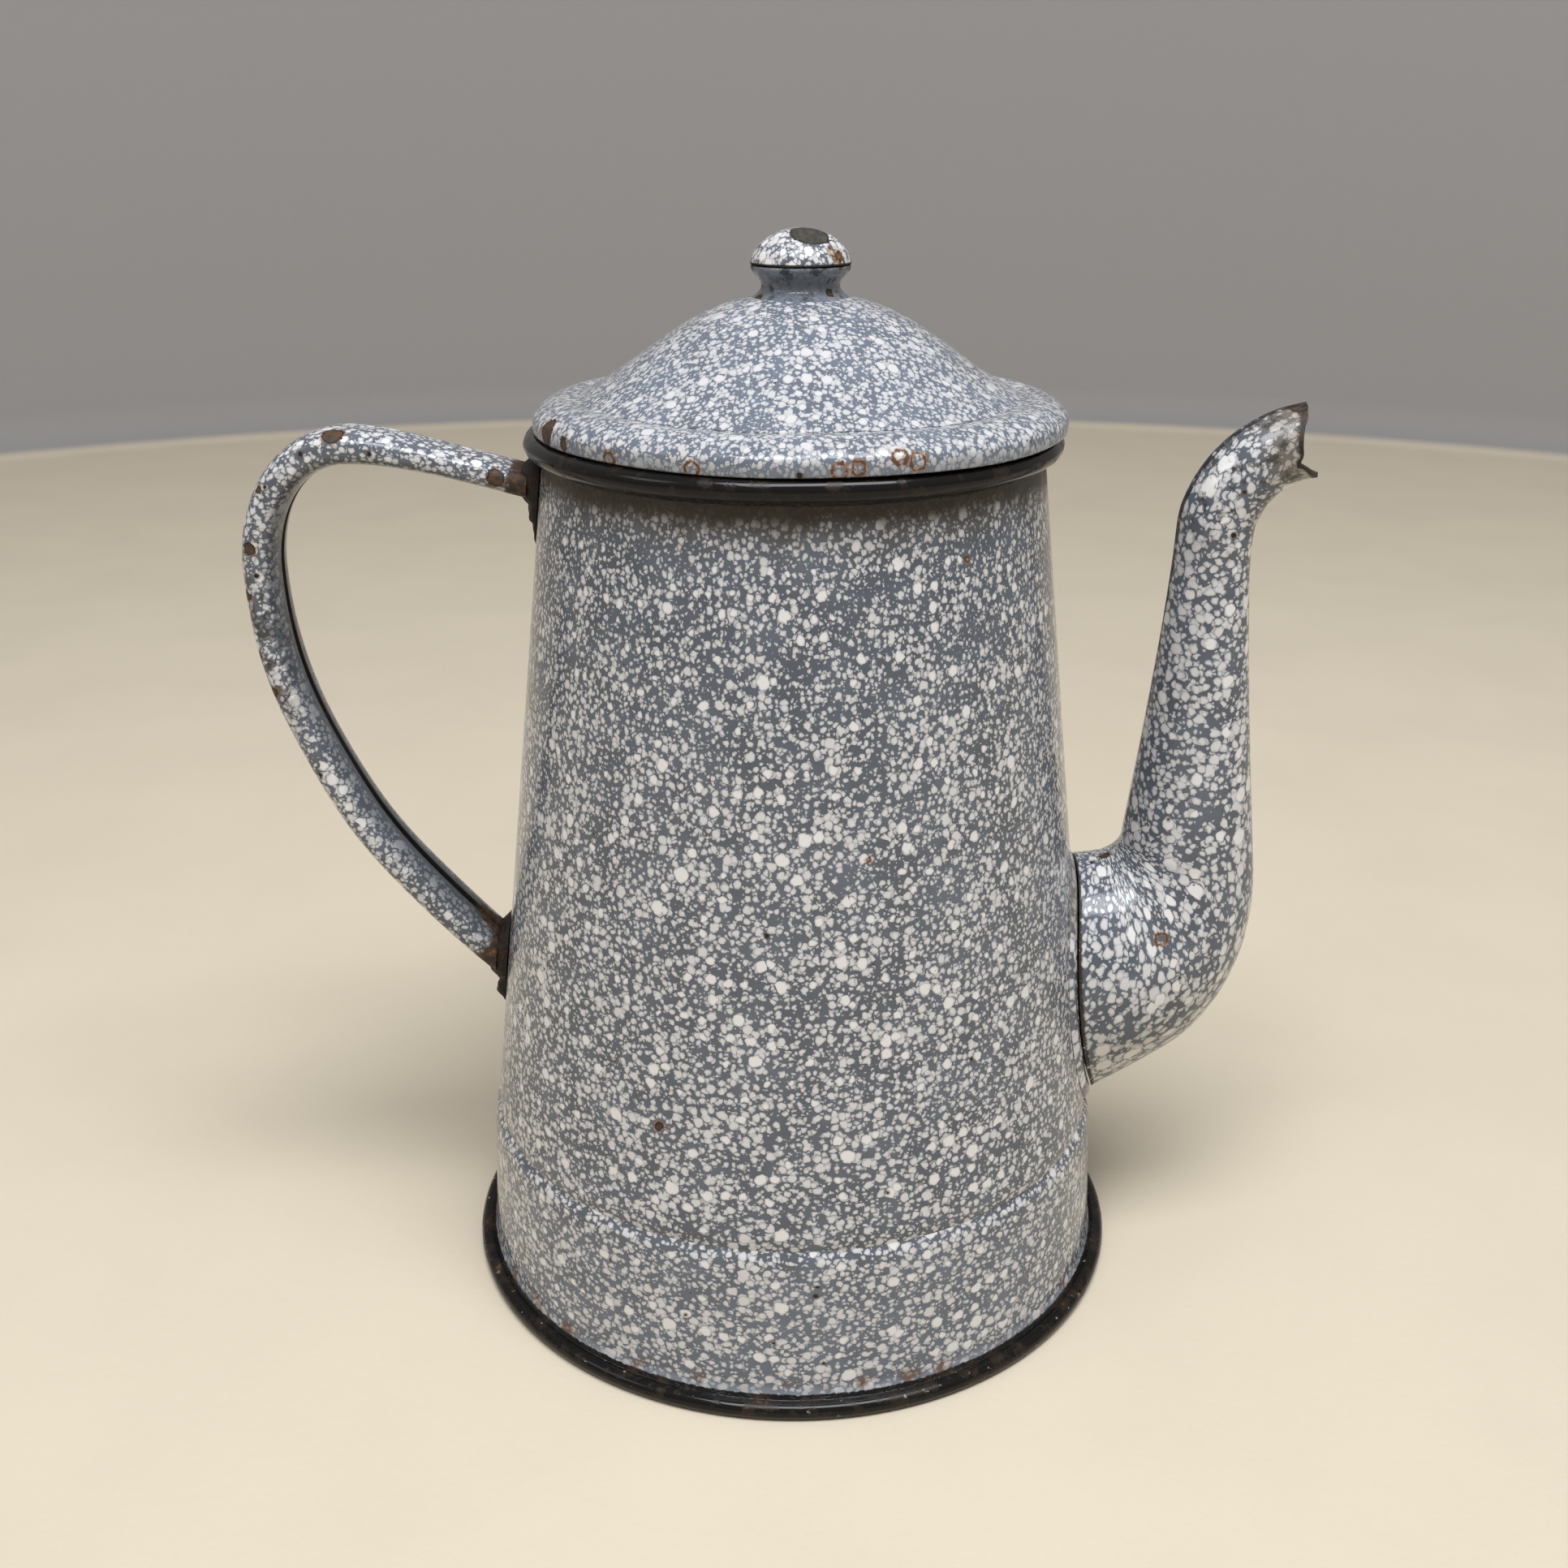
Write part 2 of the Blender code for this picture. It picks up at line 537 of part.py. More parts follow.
def pump_foot():
    """The bell that stands on the floor, with notches round its edge that let the water in."""
    hub = TUBE_R + GAP
    outside = [(BELL_R, BELL_Z), (BELL_R - 0.6 * MM, BELL_Z + 3 * MM), (8 * MM, 45.5 * MM)]
    outside += [(hub + WALL, 50 * MM), (hub + WALL, BELL_TOP_Z)]
    inside = [(hub, BELL_TOP_Z), (hub, 49.6 * MM), (7.2 * MM, 45.0 * MM)]
    inside += [(BELL_R - 1.5 * MM, BELL_Z + 2.7 * MM), (BELL_R - WALL, BELL_Z)]
    bell = lathe("pump_foot", outside + inside, bare_metal("pump_foot"), segments=36)
    turns = [2 * math.pi * (i + 0.5) / 6 for i in range(6)]
    places = [(AXIS_X + BELL_R * math.cos(a), BELL_R * math.sin(a), BELL_Z + 0.4 * MM) for a in turns]
    ways = [(math.cos(a), math.sin(a), 0) for a in turns]
    cut(bell, rods("foot_cut", places, 2.0 * MM, ways, 12 * MM, 8))
    return bell


def basket_stop():
    """The ring on the tube that carries the basket."""
    hub = TUBE_R + GAP
    profile = [(hub, STOP_Z), (STOP_R - 1 * MM, STOP_Z), (STOP_R, STOP_Z + 1 * MM)]
    profile += [(STOP_R, STOP_Z + 2.4 * MM), (hub, STOP_Z + 2.4 * MM)]
    return lathe("basket_stop", profile, bare_metal("basket_stop"), segments=24)


def ring_places(radii, z, pitch):
    """Evenly spaced hole centres on circles."""
    places = []
    for r in radii:
        count = int(2 * math.pi * r / pitch)
        turns = [2 * math.pi * i / count for i in range(count)]
        places += [(AXIS_X + r * math.cos(a), r * math.sin(a), z) for a in turns]
    return places


def basket_cup():
    """The cup for the coffee grounds, with a pierced floor."""
    hub = SLEEVE_R + GAP
    outside = [(hub, BASKET_Z), (BASKET_R - 4 * MM, BASKET_Z), (BASKET_R - 1.2 * MM, BASKET_Z + 1.6 * MM)]
    outside += [(BASKET_R, BASKET_Z + 5 * MM), (BASKET_R, BASKET_TOP_Z - 1.5 * MM)]
    outside += [(BASKET_R + 1 * MM, BASKET_TOP_Z)]
    inside = [(BASKET_R - WALL, BASKET_TOP_Z), (BASKET_R - WALL, BASKET_Z + 5.2 * MM)]
    inside += [(BASKET_R - 2.0 * MM, BASKET_Z + 2.2 * MM), (BASKET_R - 4.2 * MM, BASKET_Z + WALL)]
    inside += [(hub, BASKET_Z + WALL)]
    cup = lathe("basket_cup", outside + inside, bare_metal("basket_cup"), segments=36)
    places = ring_places((14 * MM, 25 * MM), BASKET_Z, 13 * MM)
    cut(cup, rods("basket_cut", places, BASKET_HOLE_R, [(0, 0, 1)] * len(places), 6 * MM, 6))
    return cup


def basket_sleeve():
    """The sleeve in the middle of the basket, which slides on the tube."""
    bore, low = TUBE_R + 0.5 * MM, STOP_Z + 2.4 * MM + GAP
    over = BASKET_Z + WALL + GAP
    profile = [(bore, low), (SLEEVE_R, low), (SLEEVE_R, over), (9 * MM, over), (9 * MM, over + 0.8 * MM)]
    profile += [(SLEEVE_R, over + 0.8 * MM), (SLEEVE_R, BASKET_TOP_Z - 2 * MM)]
    profile += [(bore, BASKET_TOP_Z - 2 * MM)]
    return lathe("basket_sleeve", profile, bare_metal("basket_sleeve"), segments=24)


def basket_lid():
    """The spreader: a pierced plate that lies on the basket."""
    bore, low = TUBE_R + 0.5 * MM, BASKET_TOP_Z + GAP
    profile = [(bore, low), (BASKET_R + 1 * MM, low), (BASKET_R + 1 * MM, low + 4 * MM)]
    profile += [(BASKET_R + 0.2 * MM, low + 4 * MM), (BASKET_R + 0.2 * MM, low + WALL)]
    profile += [(SLEEVE_R, low + WALL), (SLEEVE_R, low + 4 * MM), (bore, low + 4 * MM)]
    plate = lathe("basket_lid", profile, bare_metal("basket_lid"), segments=36)
    places = ring_places((14 * MM, 27 * MM), low, 16 * MM)
    cut(plate, rods("spreader_cut", places, SPREADER_HOLE_R, [(0, 0, 1)] * len(places), 6 * MM, 6))
    return plate


def gather(name, place, pieces):
    """An empty on a body's joint axis that carries the body's pieces."""
    holder = bpy.data.objects.new(name, None)
    bpy.context.scene.collection.objects.link(holder)
    holder.location = place
    for piece in pieces:
        piece.data.transform(Matrix.Translation(-Vector(place)))
        piece.parent = holder
        piece.matrix_parent_inverse = Matrix.Identity(4)
    return holder


def pot_pieces():
    path = handle_path()
    upper = (161.0 * MM, 177.0 * MM, 6.5 * MM, 1.2 * MM, path[0], path[1], LUG_DEPTH)
    lower = (55.0 * MM, 74.5 * MM, 6.5 * MM, 1.2 * MM, path[-1], path[-2], LUG_DEPTH)
    return [
        body_shell(), foot_ring(), base_plate(),
        wire("rim_wire", RIM_R, RIM_Z, RIM_BEAD_R), wire("foot_wire", FOOT_R, FOOT_Z, FOOT_BEAD_R),
        spout_half("spout_near_half", -1), spout_half("spout_far_half", 1), spout_collar(),
        handle_strap(), lug("upper_handle_lug", *upper), lug("lower_handle_lug", *lower),
    ]


def build():
    clear_scene()
    gather("pot", (AXIS_X, 0, 0), pot_pieces())
    lid = [lid_shell(), lid_collar(), knob_neck(), knob_cap(), knob_rivet()]
    gather("lid", (AXIS_X + LID_SHIFT, 0, LID_LIP_Z), lid)
    gather("pump", (AXIS_X, 0, BELL_Z), [pump_tube(), pump_foot(), basket_stop()])
    gather("basket", (AXIS_X, 0, BASKET_Z), [basket_cup(), basket_sleeve()])
    gather("spreader", (AXIS_X, 0, BASKET_TOP_Z), [basket_lid()])


build()
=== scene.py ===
# %% [markdown]
# # A speckled enamel coffee percolator
# The pot is pressed sheet steel dipped in blue-grey glass enamel and spattered with white. The
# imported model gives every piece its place. Each cell below builds one piece or one finish.
# Sizes are in millimetres until a mesh is made, because a maker thinks in them.

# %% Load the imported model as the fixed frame
import math

import bmesh
import bpy
import numpy as np
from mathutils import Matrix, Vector


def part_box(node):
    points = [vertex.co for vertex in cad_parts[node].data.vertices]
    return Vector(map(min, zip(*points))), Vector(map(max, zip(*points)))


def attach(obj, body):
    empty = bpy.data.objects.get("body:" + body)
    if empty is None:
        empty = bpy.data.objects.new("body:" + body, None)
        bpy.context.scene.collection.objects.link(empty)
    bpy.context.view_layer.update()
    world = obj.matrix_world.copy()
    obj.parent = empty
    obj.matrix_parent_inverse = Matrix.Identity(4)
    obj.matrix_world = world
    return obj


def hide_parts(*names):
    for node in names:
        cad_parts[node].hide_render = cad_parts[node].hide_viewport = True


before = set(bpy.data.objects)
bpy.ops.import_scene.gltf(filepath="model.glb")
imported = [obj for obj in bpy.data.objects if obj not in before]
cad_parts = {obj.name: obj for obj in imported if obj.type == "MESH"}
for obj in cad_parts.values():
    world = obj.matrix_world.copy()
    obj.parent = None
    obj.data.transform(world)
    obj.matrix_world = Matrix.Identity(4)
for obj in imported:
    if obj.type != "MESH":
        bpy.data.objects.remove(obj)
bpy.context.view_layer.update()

MM = 0.001


# %% [markdown]
# ## Camera
# The view is from a little above the lid, close to the pot, so that the foot shows as a wide
# ellipse and the cone's sides draw together downwards less than they really do.

# %% Camera
LOOKS_DOWN = 21.78
view = bpy.data.cameras.new("camera")
view.sensor_width, view.lens, view.clip_start = 36.0, 38.955, 0.01
camera = bpy.data.objects.new("camera", view)
camera.location = (0.00158, -0.33981, 0.24387)
camera.rotation_euler = (math.radians(90 - LOOKS_DOWN), 0, 0)
bpy.context.scene.collection.objects.link(camera)
bpy.context.scene.camera = camera
print("camera with a lens of", view.lens, "mm")

# %% [markdown]
# ## Axes
# The pot turns about one upright axis. The loose lid has settled a little to one side, so it and
# its knob turn about another. Both are read from the frame.

# %% Find the two axes
def middle_x(node):
    """The upright axis of a round piece, in millimetres."""
    low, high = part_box(node)
    return (low.x + high.x) / 2 / MM


POT_AXIS, LID_AXIS = middle_x("foot_ring"), middle_x("lid_shell")
WALL = 0.9
print("pot axis", round(POT_AXIS, 2), "lid axis", round(LID_AXIS, 2))

# %% [markdown]
# ## Turning pieces
# Almost everything on the pot was spun or drawn round, so an outline turned about an axis makes
# it. Corners in pressed sheet are never sharp: `eased` rounds each one before it is turned.

# %% Outlines
def eased(line, radius, steps=5):
    """The line with every inner corner rounded by a short curve."""
    made = [np.array(line[0], float)]
    for before, corner, after in zip(line, line[1:], line[2:]):
        corner = np.array(corner, float)
        back, on = np.array(before) - corner, np.array(after) - corner
        reach = min(radius, 0.48 * np.linalg.norm(back), 0.48 * np.linalg.norm(on))
        start = corner + back / np.linalg.norm(back) * reach
        end = corner + on / np.linalg.norm(on) * reach
        for t in np.linspace(0, 1, steps + 1):
            made.append((1 - t) ** 2 * start + 2 * t * (1 - t) * corner + t * t * end)
    return made + [np.array(line[-1], float)]


def filled(line, longest=1.5):
    """The line with points added so that none of its stretches is longer than that."""
    made = [np.array(line[0], float)]
    for start, end in zip(line, line[1:]):
        start, end = np.array(start, float), np.array(end, float)
        count = max(1, math.ceil(np.linalg.norm(end - start) / longest))
        made += [start + (end - start) * (i + 1) / count for i in range(count)]
    return made


def arc(centre, radius, start, end, steps):
    """Points on a circle between two angles in degrees."""
    turns = np.radians(np.linspace(start, end, steps + 1))
    x, z = centre
    return [np.array((x + radius * math.cos(a), z + radius * math.sin(a))) for a in turns]


def run_along(points):
    """How far along a line each of its points lies."""
    return np.concatenate([[0], np.cumsum(np.linalg.norm(np.diff(points, axis=0), axis=1))])


def waves(points, length, seed):
    """A smooth unevenness from about -1 to 1, with that many millimetres from crest to crest."""
    rng = np.random.default_rng(seed)
    total = np.zeros(points.shape[:-1])
    for _ in range(7):
        way = rng.normal(size=3)
        way *= 2 * math.pi / np.linalg.norm(way) / length * rng.uniform(0.6, 1.6)
        total += np.sin(points @ way + rng.uniform(0, 2 * math.pi))
    return total / 3.5


# %% [markdown]
# ## From points to a piece
# A mesh is a grid of points with a face between each four. The same function also lays a flat
# map of the skin over the faces, in millimetres, so that the enamel's drops can be spattered on
# the skin itself and stay round on every curve.

# %% Faces of a grid
WELD, SHARP = 2e-6, math.radians(50)


def grid_faces(rows, columns, rows_closed, columns_closed, first=0):
    """Corner numbers of each face of a grid, and each corner's place in the grid."""
    i, j = np.meshgrid(
        np.arange(rows if rows_closed else rows - 1),
        np.arange(columns if columns_closed else columns - 1),
        indexing="ij",
    )
    steps = np.stack([(i, j), (i, j + 1), (i + 1, j + 1), (i + 1, j)], axis=0)
    corners = first + (steps[:, 0] % rows) * columns + steps[:, 1] % columns
    return corners.reshape(4, -1).T, steps.transpose(2, 3, 0, 1).reshape(-1, 4, 2)


# %% Make a piece
def make_piece(name, points, faces, skin_map, body, nodes=(), kinds=None):
    """One piece of the model on its body. kinds gives each face's material number."""
    mesh = bpy.data.meshes.new(name)
    mesh.from_pydata((points.reshape(-1, 3) * MM).tolist(), [], faces.tolist())
    layer = mesh.uv_layers.new(name="skin")
    layer.data.foreach_set("uv", skin_map.reshape(-1).astype(np.float32))
    if kinds is not None:
        for _ in range(kinds.max() + 1):
            mesh.materials.append(None)
        mesh.polygons.foreach_set("material_index", kinds.astype(np.int32))
    work = bmesh.new()
    work.from_mesh(mesh)
    bmesh.ops.remove_doubles(work, verts=work.verts, dist=WELD)
    bmesh.ops.dissolve_degenerate(work, edges=work.edges, dist=1e-7)
    bmesh.ops.recalc_face_normals(work, faces=work.faces)
    work.to_mesh(mesh)
    work.free()
    mesh.polygons.foreach_set("use_smooth", np.ones(len(mesh.polygons), bool))
    mesh.set_sharp_from_angle(angle=SHARP)
    made = bpy.data.objects.new(name, mesh)
    bpy.context.scene.collection.objects.link(made)
    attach(made, body)
    if nodes:
        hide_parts(*nodes)
    print(f"{name}: {len(mesh.polygons)} faces")
    return made


# %% Turn an outline
def spin(
    name, line, axis, body, nodes=(), steps=240, scale=60.0, change=None, kind_at=None,
    apex=None,
):
    """A closed outline of (radius, height) turned about an upright axis. scale is the radius at
    which the skin map is true, change moves points, and kind_at numbers each stretch's material.
    A dome's map is a disc instead: apex is how far along the outline its top lies."""
    line = np.array(line, float)
    turns = np.arange(steps) * 2 * math.pi / steps + math.pi
    points = np.stack(
        [
            axis + np.outer(np.cos(turns), line[:, 0]),
            np.outer(np.sin(turns), line[:, 0]),
            np.tile(line[:, 1], (steps, 1)),
        ],
        axis=-1,
    )
    if change:
        points = change(points)
    faces, places = grid_faces(steps, len(line), True, True)
    lengths = run_along(np.vstack([line, line[:1]]))
    turn, far = places[..., 0] * 2 * math.pi / steps, lengths[places[..., 1]]
    if apex is None:
        skin_map = np.stack([turn * scale, far], axis=-1)
    else:
        out = abs(far - apex)
        skin_map = np.stack([out * np.cos(turn), out * np.sin(turn)], axis=-1)
    kinds = None if kind_at is None else np.array(kind_at)[places[:, 0, 1]]
    return make_piece(name, points, faces, skin_map, body, nodes, kinds)


# %% Join two skins
def two_skins(name, outer, inner, skin_map, body, nodes=()):
    """A sheet with an outer and an inner skin, which are joined round their edges."""
    rows, columns = outer.shape[:2]
    half = rows * columns
    front, places = grid_faces(rows, columns, False, False)
    back = front[:, ::-1] + half
    ring = [(0, j) for j in range(columns)] + [(i, columns - 1) for i in range(1, rows)]
    ring += [(rows - 1, j) for j in range(columns - 2, -1, -1)]
    ring += [(i, 0) for i in range(rows - 2, 0, -1)]
    ring = np.array(ring)
    after = np.roll(ring, -1, axis=0)
    here, there = ring @ (columns, 1), after @ (columns, 1)
    hem = np.stack([here, here + half, there + half, there], axis=1)
    hem_places = np.stack([ring, ring, after, after], axis=1)
    corners = np.concatenate([places, places[:, ::-1], hem_places])
    kinds = np.repeat([0, 1, 0], [len(front), len(back), len(hem)])
    flat = skin_map[corners[..., 0], corners[..., 1]]
    points = np.concatenate([outer.reshape(-1, 3), inner.reshape(-1, 3)])
    faces = np.concatenate([front, back, hem])
    return make_piece(name, points, faces, flat, body, nodes, kinds)


# %% [markdown]
# ## Body
# The body is a cone of sheet steel. Its top edge is curled outwards over a wire, which makes the
# black bead that the lid rests on. Enamel never lies quite even on such a curl, so the bead gets
# a slight wave.

# %% The cone
CONE_LOW, CONE_TOP = (66.7, 38.0), (49.85, 180.6)
RIM_CENTRE, RIM_BEAD = (51.3, 182.6), 2.1
SPOUT_ROOT_Z = 63.1


def cone_radius(height):
    """The cone's outer radius at a height."""
    (low, low_z), (top, top_z) = CONE_LOW, CONE_TOP
    return low + (top - low) * (height - low_z) / (top_z - low_z)


def uneven(centre_radius, centre_height, reach, amount, length, seed):
    """A change for spin that lets the enamel of a bead vary in thickness."""
    def change(points):
        radius = np.hypot(points[..., 0] - POT_AXIS, points[..., 1])
        near = np.hypot(radius - centre_radius, points[..., 2] - centre_height) < reach
        grow = near * waves(points, length, seed) * amount / radius
        points[..., 0] += (points[..., 0] - POT_AXIS) * grow
        points[..., 1] += points[..., 1] * grow
        return points
    return change


outside = filled(eased([(66.0, 27.5), (66.0, 34.4), CONE_LOW, CONE_TOP], 1.5))
curl = arc(RIM_CENTRE, RIM_BEAD - WALL, 180, -110, 24) + arc(RIM_CENTRE, RIM_BEAD, -110, 180, 40)
inside = [(RIM_CENTRE[0] - RIM_BEAD, 180.6), (65.8, 38.0), (65.1, 34.6), (65.1, 27.5)]
inside = filled(eased(inside, 1.5), 3)
parts = [0] * len(outside) + [2] * (len(curl) - 1) + [1] * (len(inside) + 1)
body_cone = spin(
    "body_cone", outside + curl + inside, POT_AXIS, "pot", ["body_shell"],
    kind_at=parts, change=uneven(*RIM_CENTRE, 2.4, 0.07, 9, 3),
)

# %% [markdown]
# The holes behind the spout keep the coffee grounds in. They are punched with a set of rods, as
# the real press does, by a Boolean whose result is kept as the piece's mesh.

# %% Punch holes
def punch(piece, places, radius, way, length, sides=20):
    """Cut round holes of that radius through a piece. places are in millimetres."""
    along = Vector(way).normalized()
    across = along.orthogonal().normalized()
    other = along.cross(across)
    work = bmesh.new()
    for place in places:
        rings = []
        for end in (-0.5, 0.5):
            middle = Vector(place) + along * end * length
            turns = [2 * math.pi * i / sides for i in range(sides)]
            ways = [across * math.cos(a) + other * math.sin(a) for a in turns]
            rings.append([work.verts.new((middle + way * radius) * MM) for way in ways])
        work.faces.new(rings[0])
        work.faces.new(rings[1][::-1])
        for i in range(sides):
            j = (i + 1) % sides
            work.faces.new((rings[0][i], rings[0][j], rings[1][j], rings[1][i]))
    bmesh.ops.recalc_face_normals(work, faces=work.faces)
    mesh = bpy.data.meshes.new("rods")
    work.to_mesh(mesh)
    work.free()
    rods = bpy.data.objects.new("rods", mesh)
    bpy.context.scene.collection.objects.link(rods)
    cut = piece.modifiers.new("punch", "BOOLEAN")
    cut.operation, cut.solver, cut.object = "DIFFERENCE", "EXACT", rods
    looked_at = piece.evaluated_get(bpy.context.evaluated_depsgraph_get())
    piece.data = bpy.data.meshes.new_from_object(looked_at)
    piece.modifiers.clear()
    bpy.data.objects.remove(rods)
    print(f"{piece.name}: {len(places)} holes, {len(piece.data.polygons)} faces")


strainer = [
    (POT_AXIS + cone_radius(66), (i - (count - 1) / 2) * 8.0, 66.0 + row * 8.0)
    for row, count in ((-1.5, 2), (-0.5, 3), (0.5, 4), (1.5, 3), (2.5, 2))
    for i in range(count)
]
punch(body_cone, strainer, 2.5, (1, 0, 0), 20)

# %% [markdown]
# ## Foot
# The skirt widens below a soft shoulder and is rolled round a second wire. It stands on that
# roll, which years of hot plates have worn flat.

# %% The skirt and the floor of the pot
FOOT_CENTRE, FOOT_BEAD = (71.2, 1.7), 1.8
shoulder = [(66.22, 36.6), (66.6, 35.7), (67.45, 34.6), (67.85, 32.0), (69.3, 5.2), (70.0, 3.3)]
shoulder = filled(eased(shoulder, 2.0, 8))
worn = [(72.0, 0.0), (70.4, 0.0)]
roll = arc(FOOT_CENTRE, FOOT_BEAD, 125, -50, 30) + worn + arc(FOOT_CENTRE, FOOT_BEAD, 230, 180, 6)
under = filled(eased([(68.6, 6.0), (66.95, 30.0), (66.02, 31.5), (66.02, 36.4)], 2.0), 3)
foot_skirt = spin(
    "foot_skirt", shoulder + roll + under, POT_AXIS, "pot", ["foot_ring"],
    kind_at=[0] * len(shoulder) + [2] * (len(roll) - 1) + [1] * (len(under) + 1),
    change=uneven(*FOOT_CENTRE, 1.75, 0.05, 8, 5),
)
dish = [(0, 30.4), (30, 29.6), (60, 28.4), (63.9, 28.4), (63.9, 33.5), (64.8, 33.5), (64.8, 27.5)]
dish = filled(eased(dish, 1.6) + eased([(59.8, 27.5), (30, 28.7), (0, 29.5)], 3), 4)
pot_floor = spin(
    "pot_floor", dish, POT_AXIS, "pot", ["base_plate"], steps=120,
)

# %% [markdown]
# ## Spout
# The gooseneck is two pressings joined along its spine and belly. Its elbow fans out about the
# crotch, a straight riser follows, and the neck bends over to the mouth. A curve through the
# rings of each stretch gives one unbroken skin. A low ridge is left where the halves meet.

# %% Sizes of the spout
ROOT_HALF_Z, ROOT_HALF_Y = 27.2, 21.5
CROTCH_X, CROTCH_Z, CROTCH_R = 66.3, 96.5, 5.7
BELLY_LOW, BELLY_HIGH = 57.3, 33.6
NECK_X, NECK_Z, NECK_HALF = 85.6, 157.0, 7.8
BEND_X, BEND_Z, TIP_HALF, TIP_DRIFT, BEND_RINGS = 105.6, 161.5, 7.5, 0.7, 7
MOUTH_TOP, MOUTH_NOTCH, MOUTH_LIP = 99.0, 110.0, 91.0
SEAM_WIDE, SEAM_HIGH, EDGE_WIDE, EDGE_ROUGH, MAPS_APART = 0.8, 0.22, 0.9, 0.28, 300


# %% Shape of the spout
def belly_reach(t):
    """Distance from the crotch to the belly, from the root (0) to the riser (1)."""
    left = 1 - t
    share = 0.4 * left + 0.6 * (left * left * (3 - 2 * left)) ** 1.15
    return BELLY_HIGH + (BELLY_LOW - BELLY_HIGH) * share


def tube_ring(middle, inner, half, half_y, around, offset):
    """A ring of the tube: its centre, the way to its inner side and its two half sizes."""
    ring = np.outer(np.cos(around) * (half + offset), inner) + np.array(middle)
    ring[:, 1] += (half_y + offset) * np.sin(around)
    return ring


def mouth_cut(around):
    """The fan angle at which the mouth ends, from its top round to the pointed lower lip."""
    turn = np.degrees(around)
    upper = MOUTH_TOP + (MOUTH_NOTCH - MOUTH_TOP) * (np.minimum(turn, 112) / 112) ** 1.5
    lower = MOUTH_NOTCH + (MOUTH_LIP - MOUTH_NOTCH) * (np.maximum(turn - 112, 0) / 68) ** 0.8
    return np.where(turn < 112, upper, lower)


# %% Rings of the spout
def spout_rings(around, offset):
    """Every ring of the spout at that offset from its outer skin, from root to mouth."""
    z = SPOUT_ROOT_Z + (ROOT_HALF_Z + offset) * np.cos(around)
    y = (ROOT_HALF_Y + offset) * np.sin(around)
    rings = [np.stack([np.sqrt((cone_radius(z) + WALL + 0.5) ** 2 - y * y), y, z], axis=1)]
    for t in np.linspace(0.14, 1, 7):
        a = math.radians(-90 + 90 * t)
        out, reach = np.array((math.cos(a), 0, math.sin(a))), belly_reach(t)
        half = (reach - CROTCH_R) / 2
        middle = np.array((CROTCH_X, 0, CROTCH_Z)) + out * (CROTCH_R + reach) / 2
        half_y = half + (1 - t) * (ROOT_HALF_Y - ROOT_HALF_Z) * 0.75
        rings.append(tube_ring(middle, -out, half, half_y, around, offset))
    low_x, first = CROTCH_X + (CROTCH_R + BELLY_HIGH) / 2, (BELLY_HIGH - CROTCH_R) / 2
    for t in (0.25, 0.5, 0.75, 1.0):
        half = NECK_HALF + (first - NECK_HALF) * (1 - t) ** 1.2
        middle = (low_x + (NECK_X - low_x) * t, 0, CROTCH_Z + (NECK_Z - CROTCH_Z) * t)
        rings.append(tube_ring(middle, (-1, 0, 0), half, half, around, offset))
    for t in (np.arange(BEND_RINGS) + 1) / BEND_RINGS:
        half = NECK_HALF + (TIP_HALF - NECK_HALF) * t + offset
        a = np.radians(180 + (mouth_cut(around) - 180) * t)
        reach = BEND_X - NECK_X + TIP_DRIFT * t + half * np.cos(around)
        x, z = BEND_X + reach * np.cos(a), BEND_Z + reach * np.sin(a)
        rings.append(np.stack([x, half * np.sin(around), z], axis=1))
    return np.array(rings) + (POT_AXIS, 0, 0)


def through(rings, steps=6):
    """More rings on a smooth curve through the given ones."""
    ends = np.concatenate([2 * rings[:1] - rings[1:2], rings, 2 * rings[-1:] - rings[-2:-1]])
    made = []
    for a, b, c, d in zip(ends, ends[1:], ends[2:], ends[3:]):
        for t in np.arange(steps) / steps:
            square, cube = 2 * a - 5 * b + 4 * c - d, 3 * b - a - 3 * c + d
            made.append((2 * b + (c - a) * t + square * t**2 + cube * t**3) / 2)
    return np.array(made + [rings[-1]])


# %% The two halves of the spout
def spout_half(name, side, node):
    """One pressing, from spine to belly."""
    around = np.linspace(0, math.pi, 49)
    outer, inner = through(spout_rings(around, 0.0)), through(spout_rings(around, -WALL))
    along = run_along(outer.mean(axis=1))
    size = np.ptp(outer[..., 1], axis=1)
    girth = np.outer(size, (around - math.pi / 2) * side) + side * MAPS_APART
    skin_map = np.stack([np.broadcast_to(along[:, None], girth.shape), girth], axis=-1)
    from_seam = np.minimum(around, math.pi - around)[None] * size[:, None]
    seam = np.exp(-(from_seam / SEAM_WIDE) ** 2)[..., None]
    outward = outer - outer.mean(axis=1, keepdims=True)
    outward /= np.linalg.norm(outward, axis=2, keepdims=True)
    outer = outer + outward * seam * SEAM_HIGH
    edge = np.exp(-((along[-1] - along) / EDGE_WIDE) ** 2)[:, None]
    outer[..., 0] += edge * waves(outer, 4.5, 11) * EDGE_ROUGH
    for skin in (outer, inner):
        skin[..., 1] = side * np.maximum(skin[..., 1], 0.02)
    return two_skins(name, outer, inner, skin_map, "pot", [node])


spout_near = spout_half("spout_near", -1, "spout_near_half")
spout_far = spout_half("spout_far", 1, "spout_far_half")

# %% [markdown]
# A saddle of sheet lies on the cone round the spout's root, where the spout is brazed on. Its
# outer edge is drawn thin, so that the enamel runs from it onto the body.

# %% The saddle
def on_cone(grow, lift, steps):
    """A ring on the cone round the spout's root, grown and lifted by those amounts."""
    a = np.arange(steps) * 2 * math.pi / steps
    z = SPOUT_ROOT_Z + (ROOT_HALF_Z + grow) * np.cos(a)
    y = (ROOT_HALF_Y + grow) * np.sin(a)
    return np.stack([POT_AXIS + np.sqrt((cone_radius(z) + lift) ** 2 - y * y), y, z], axis=1)


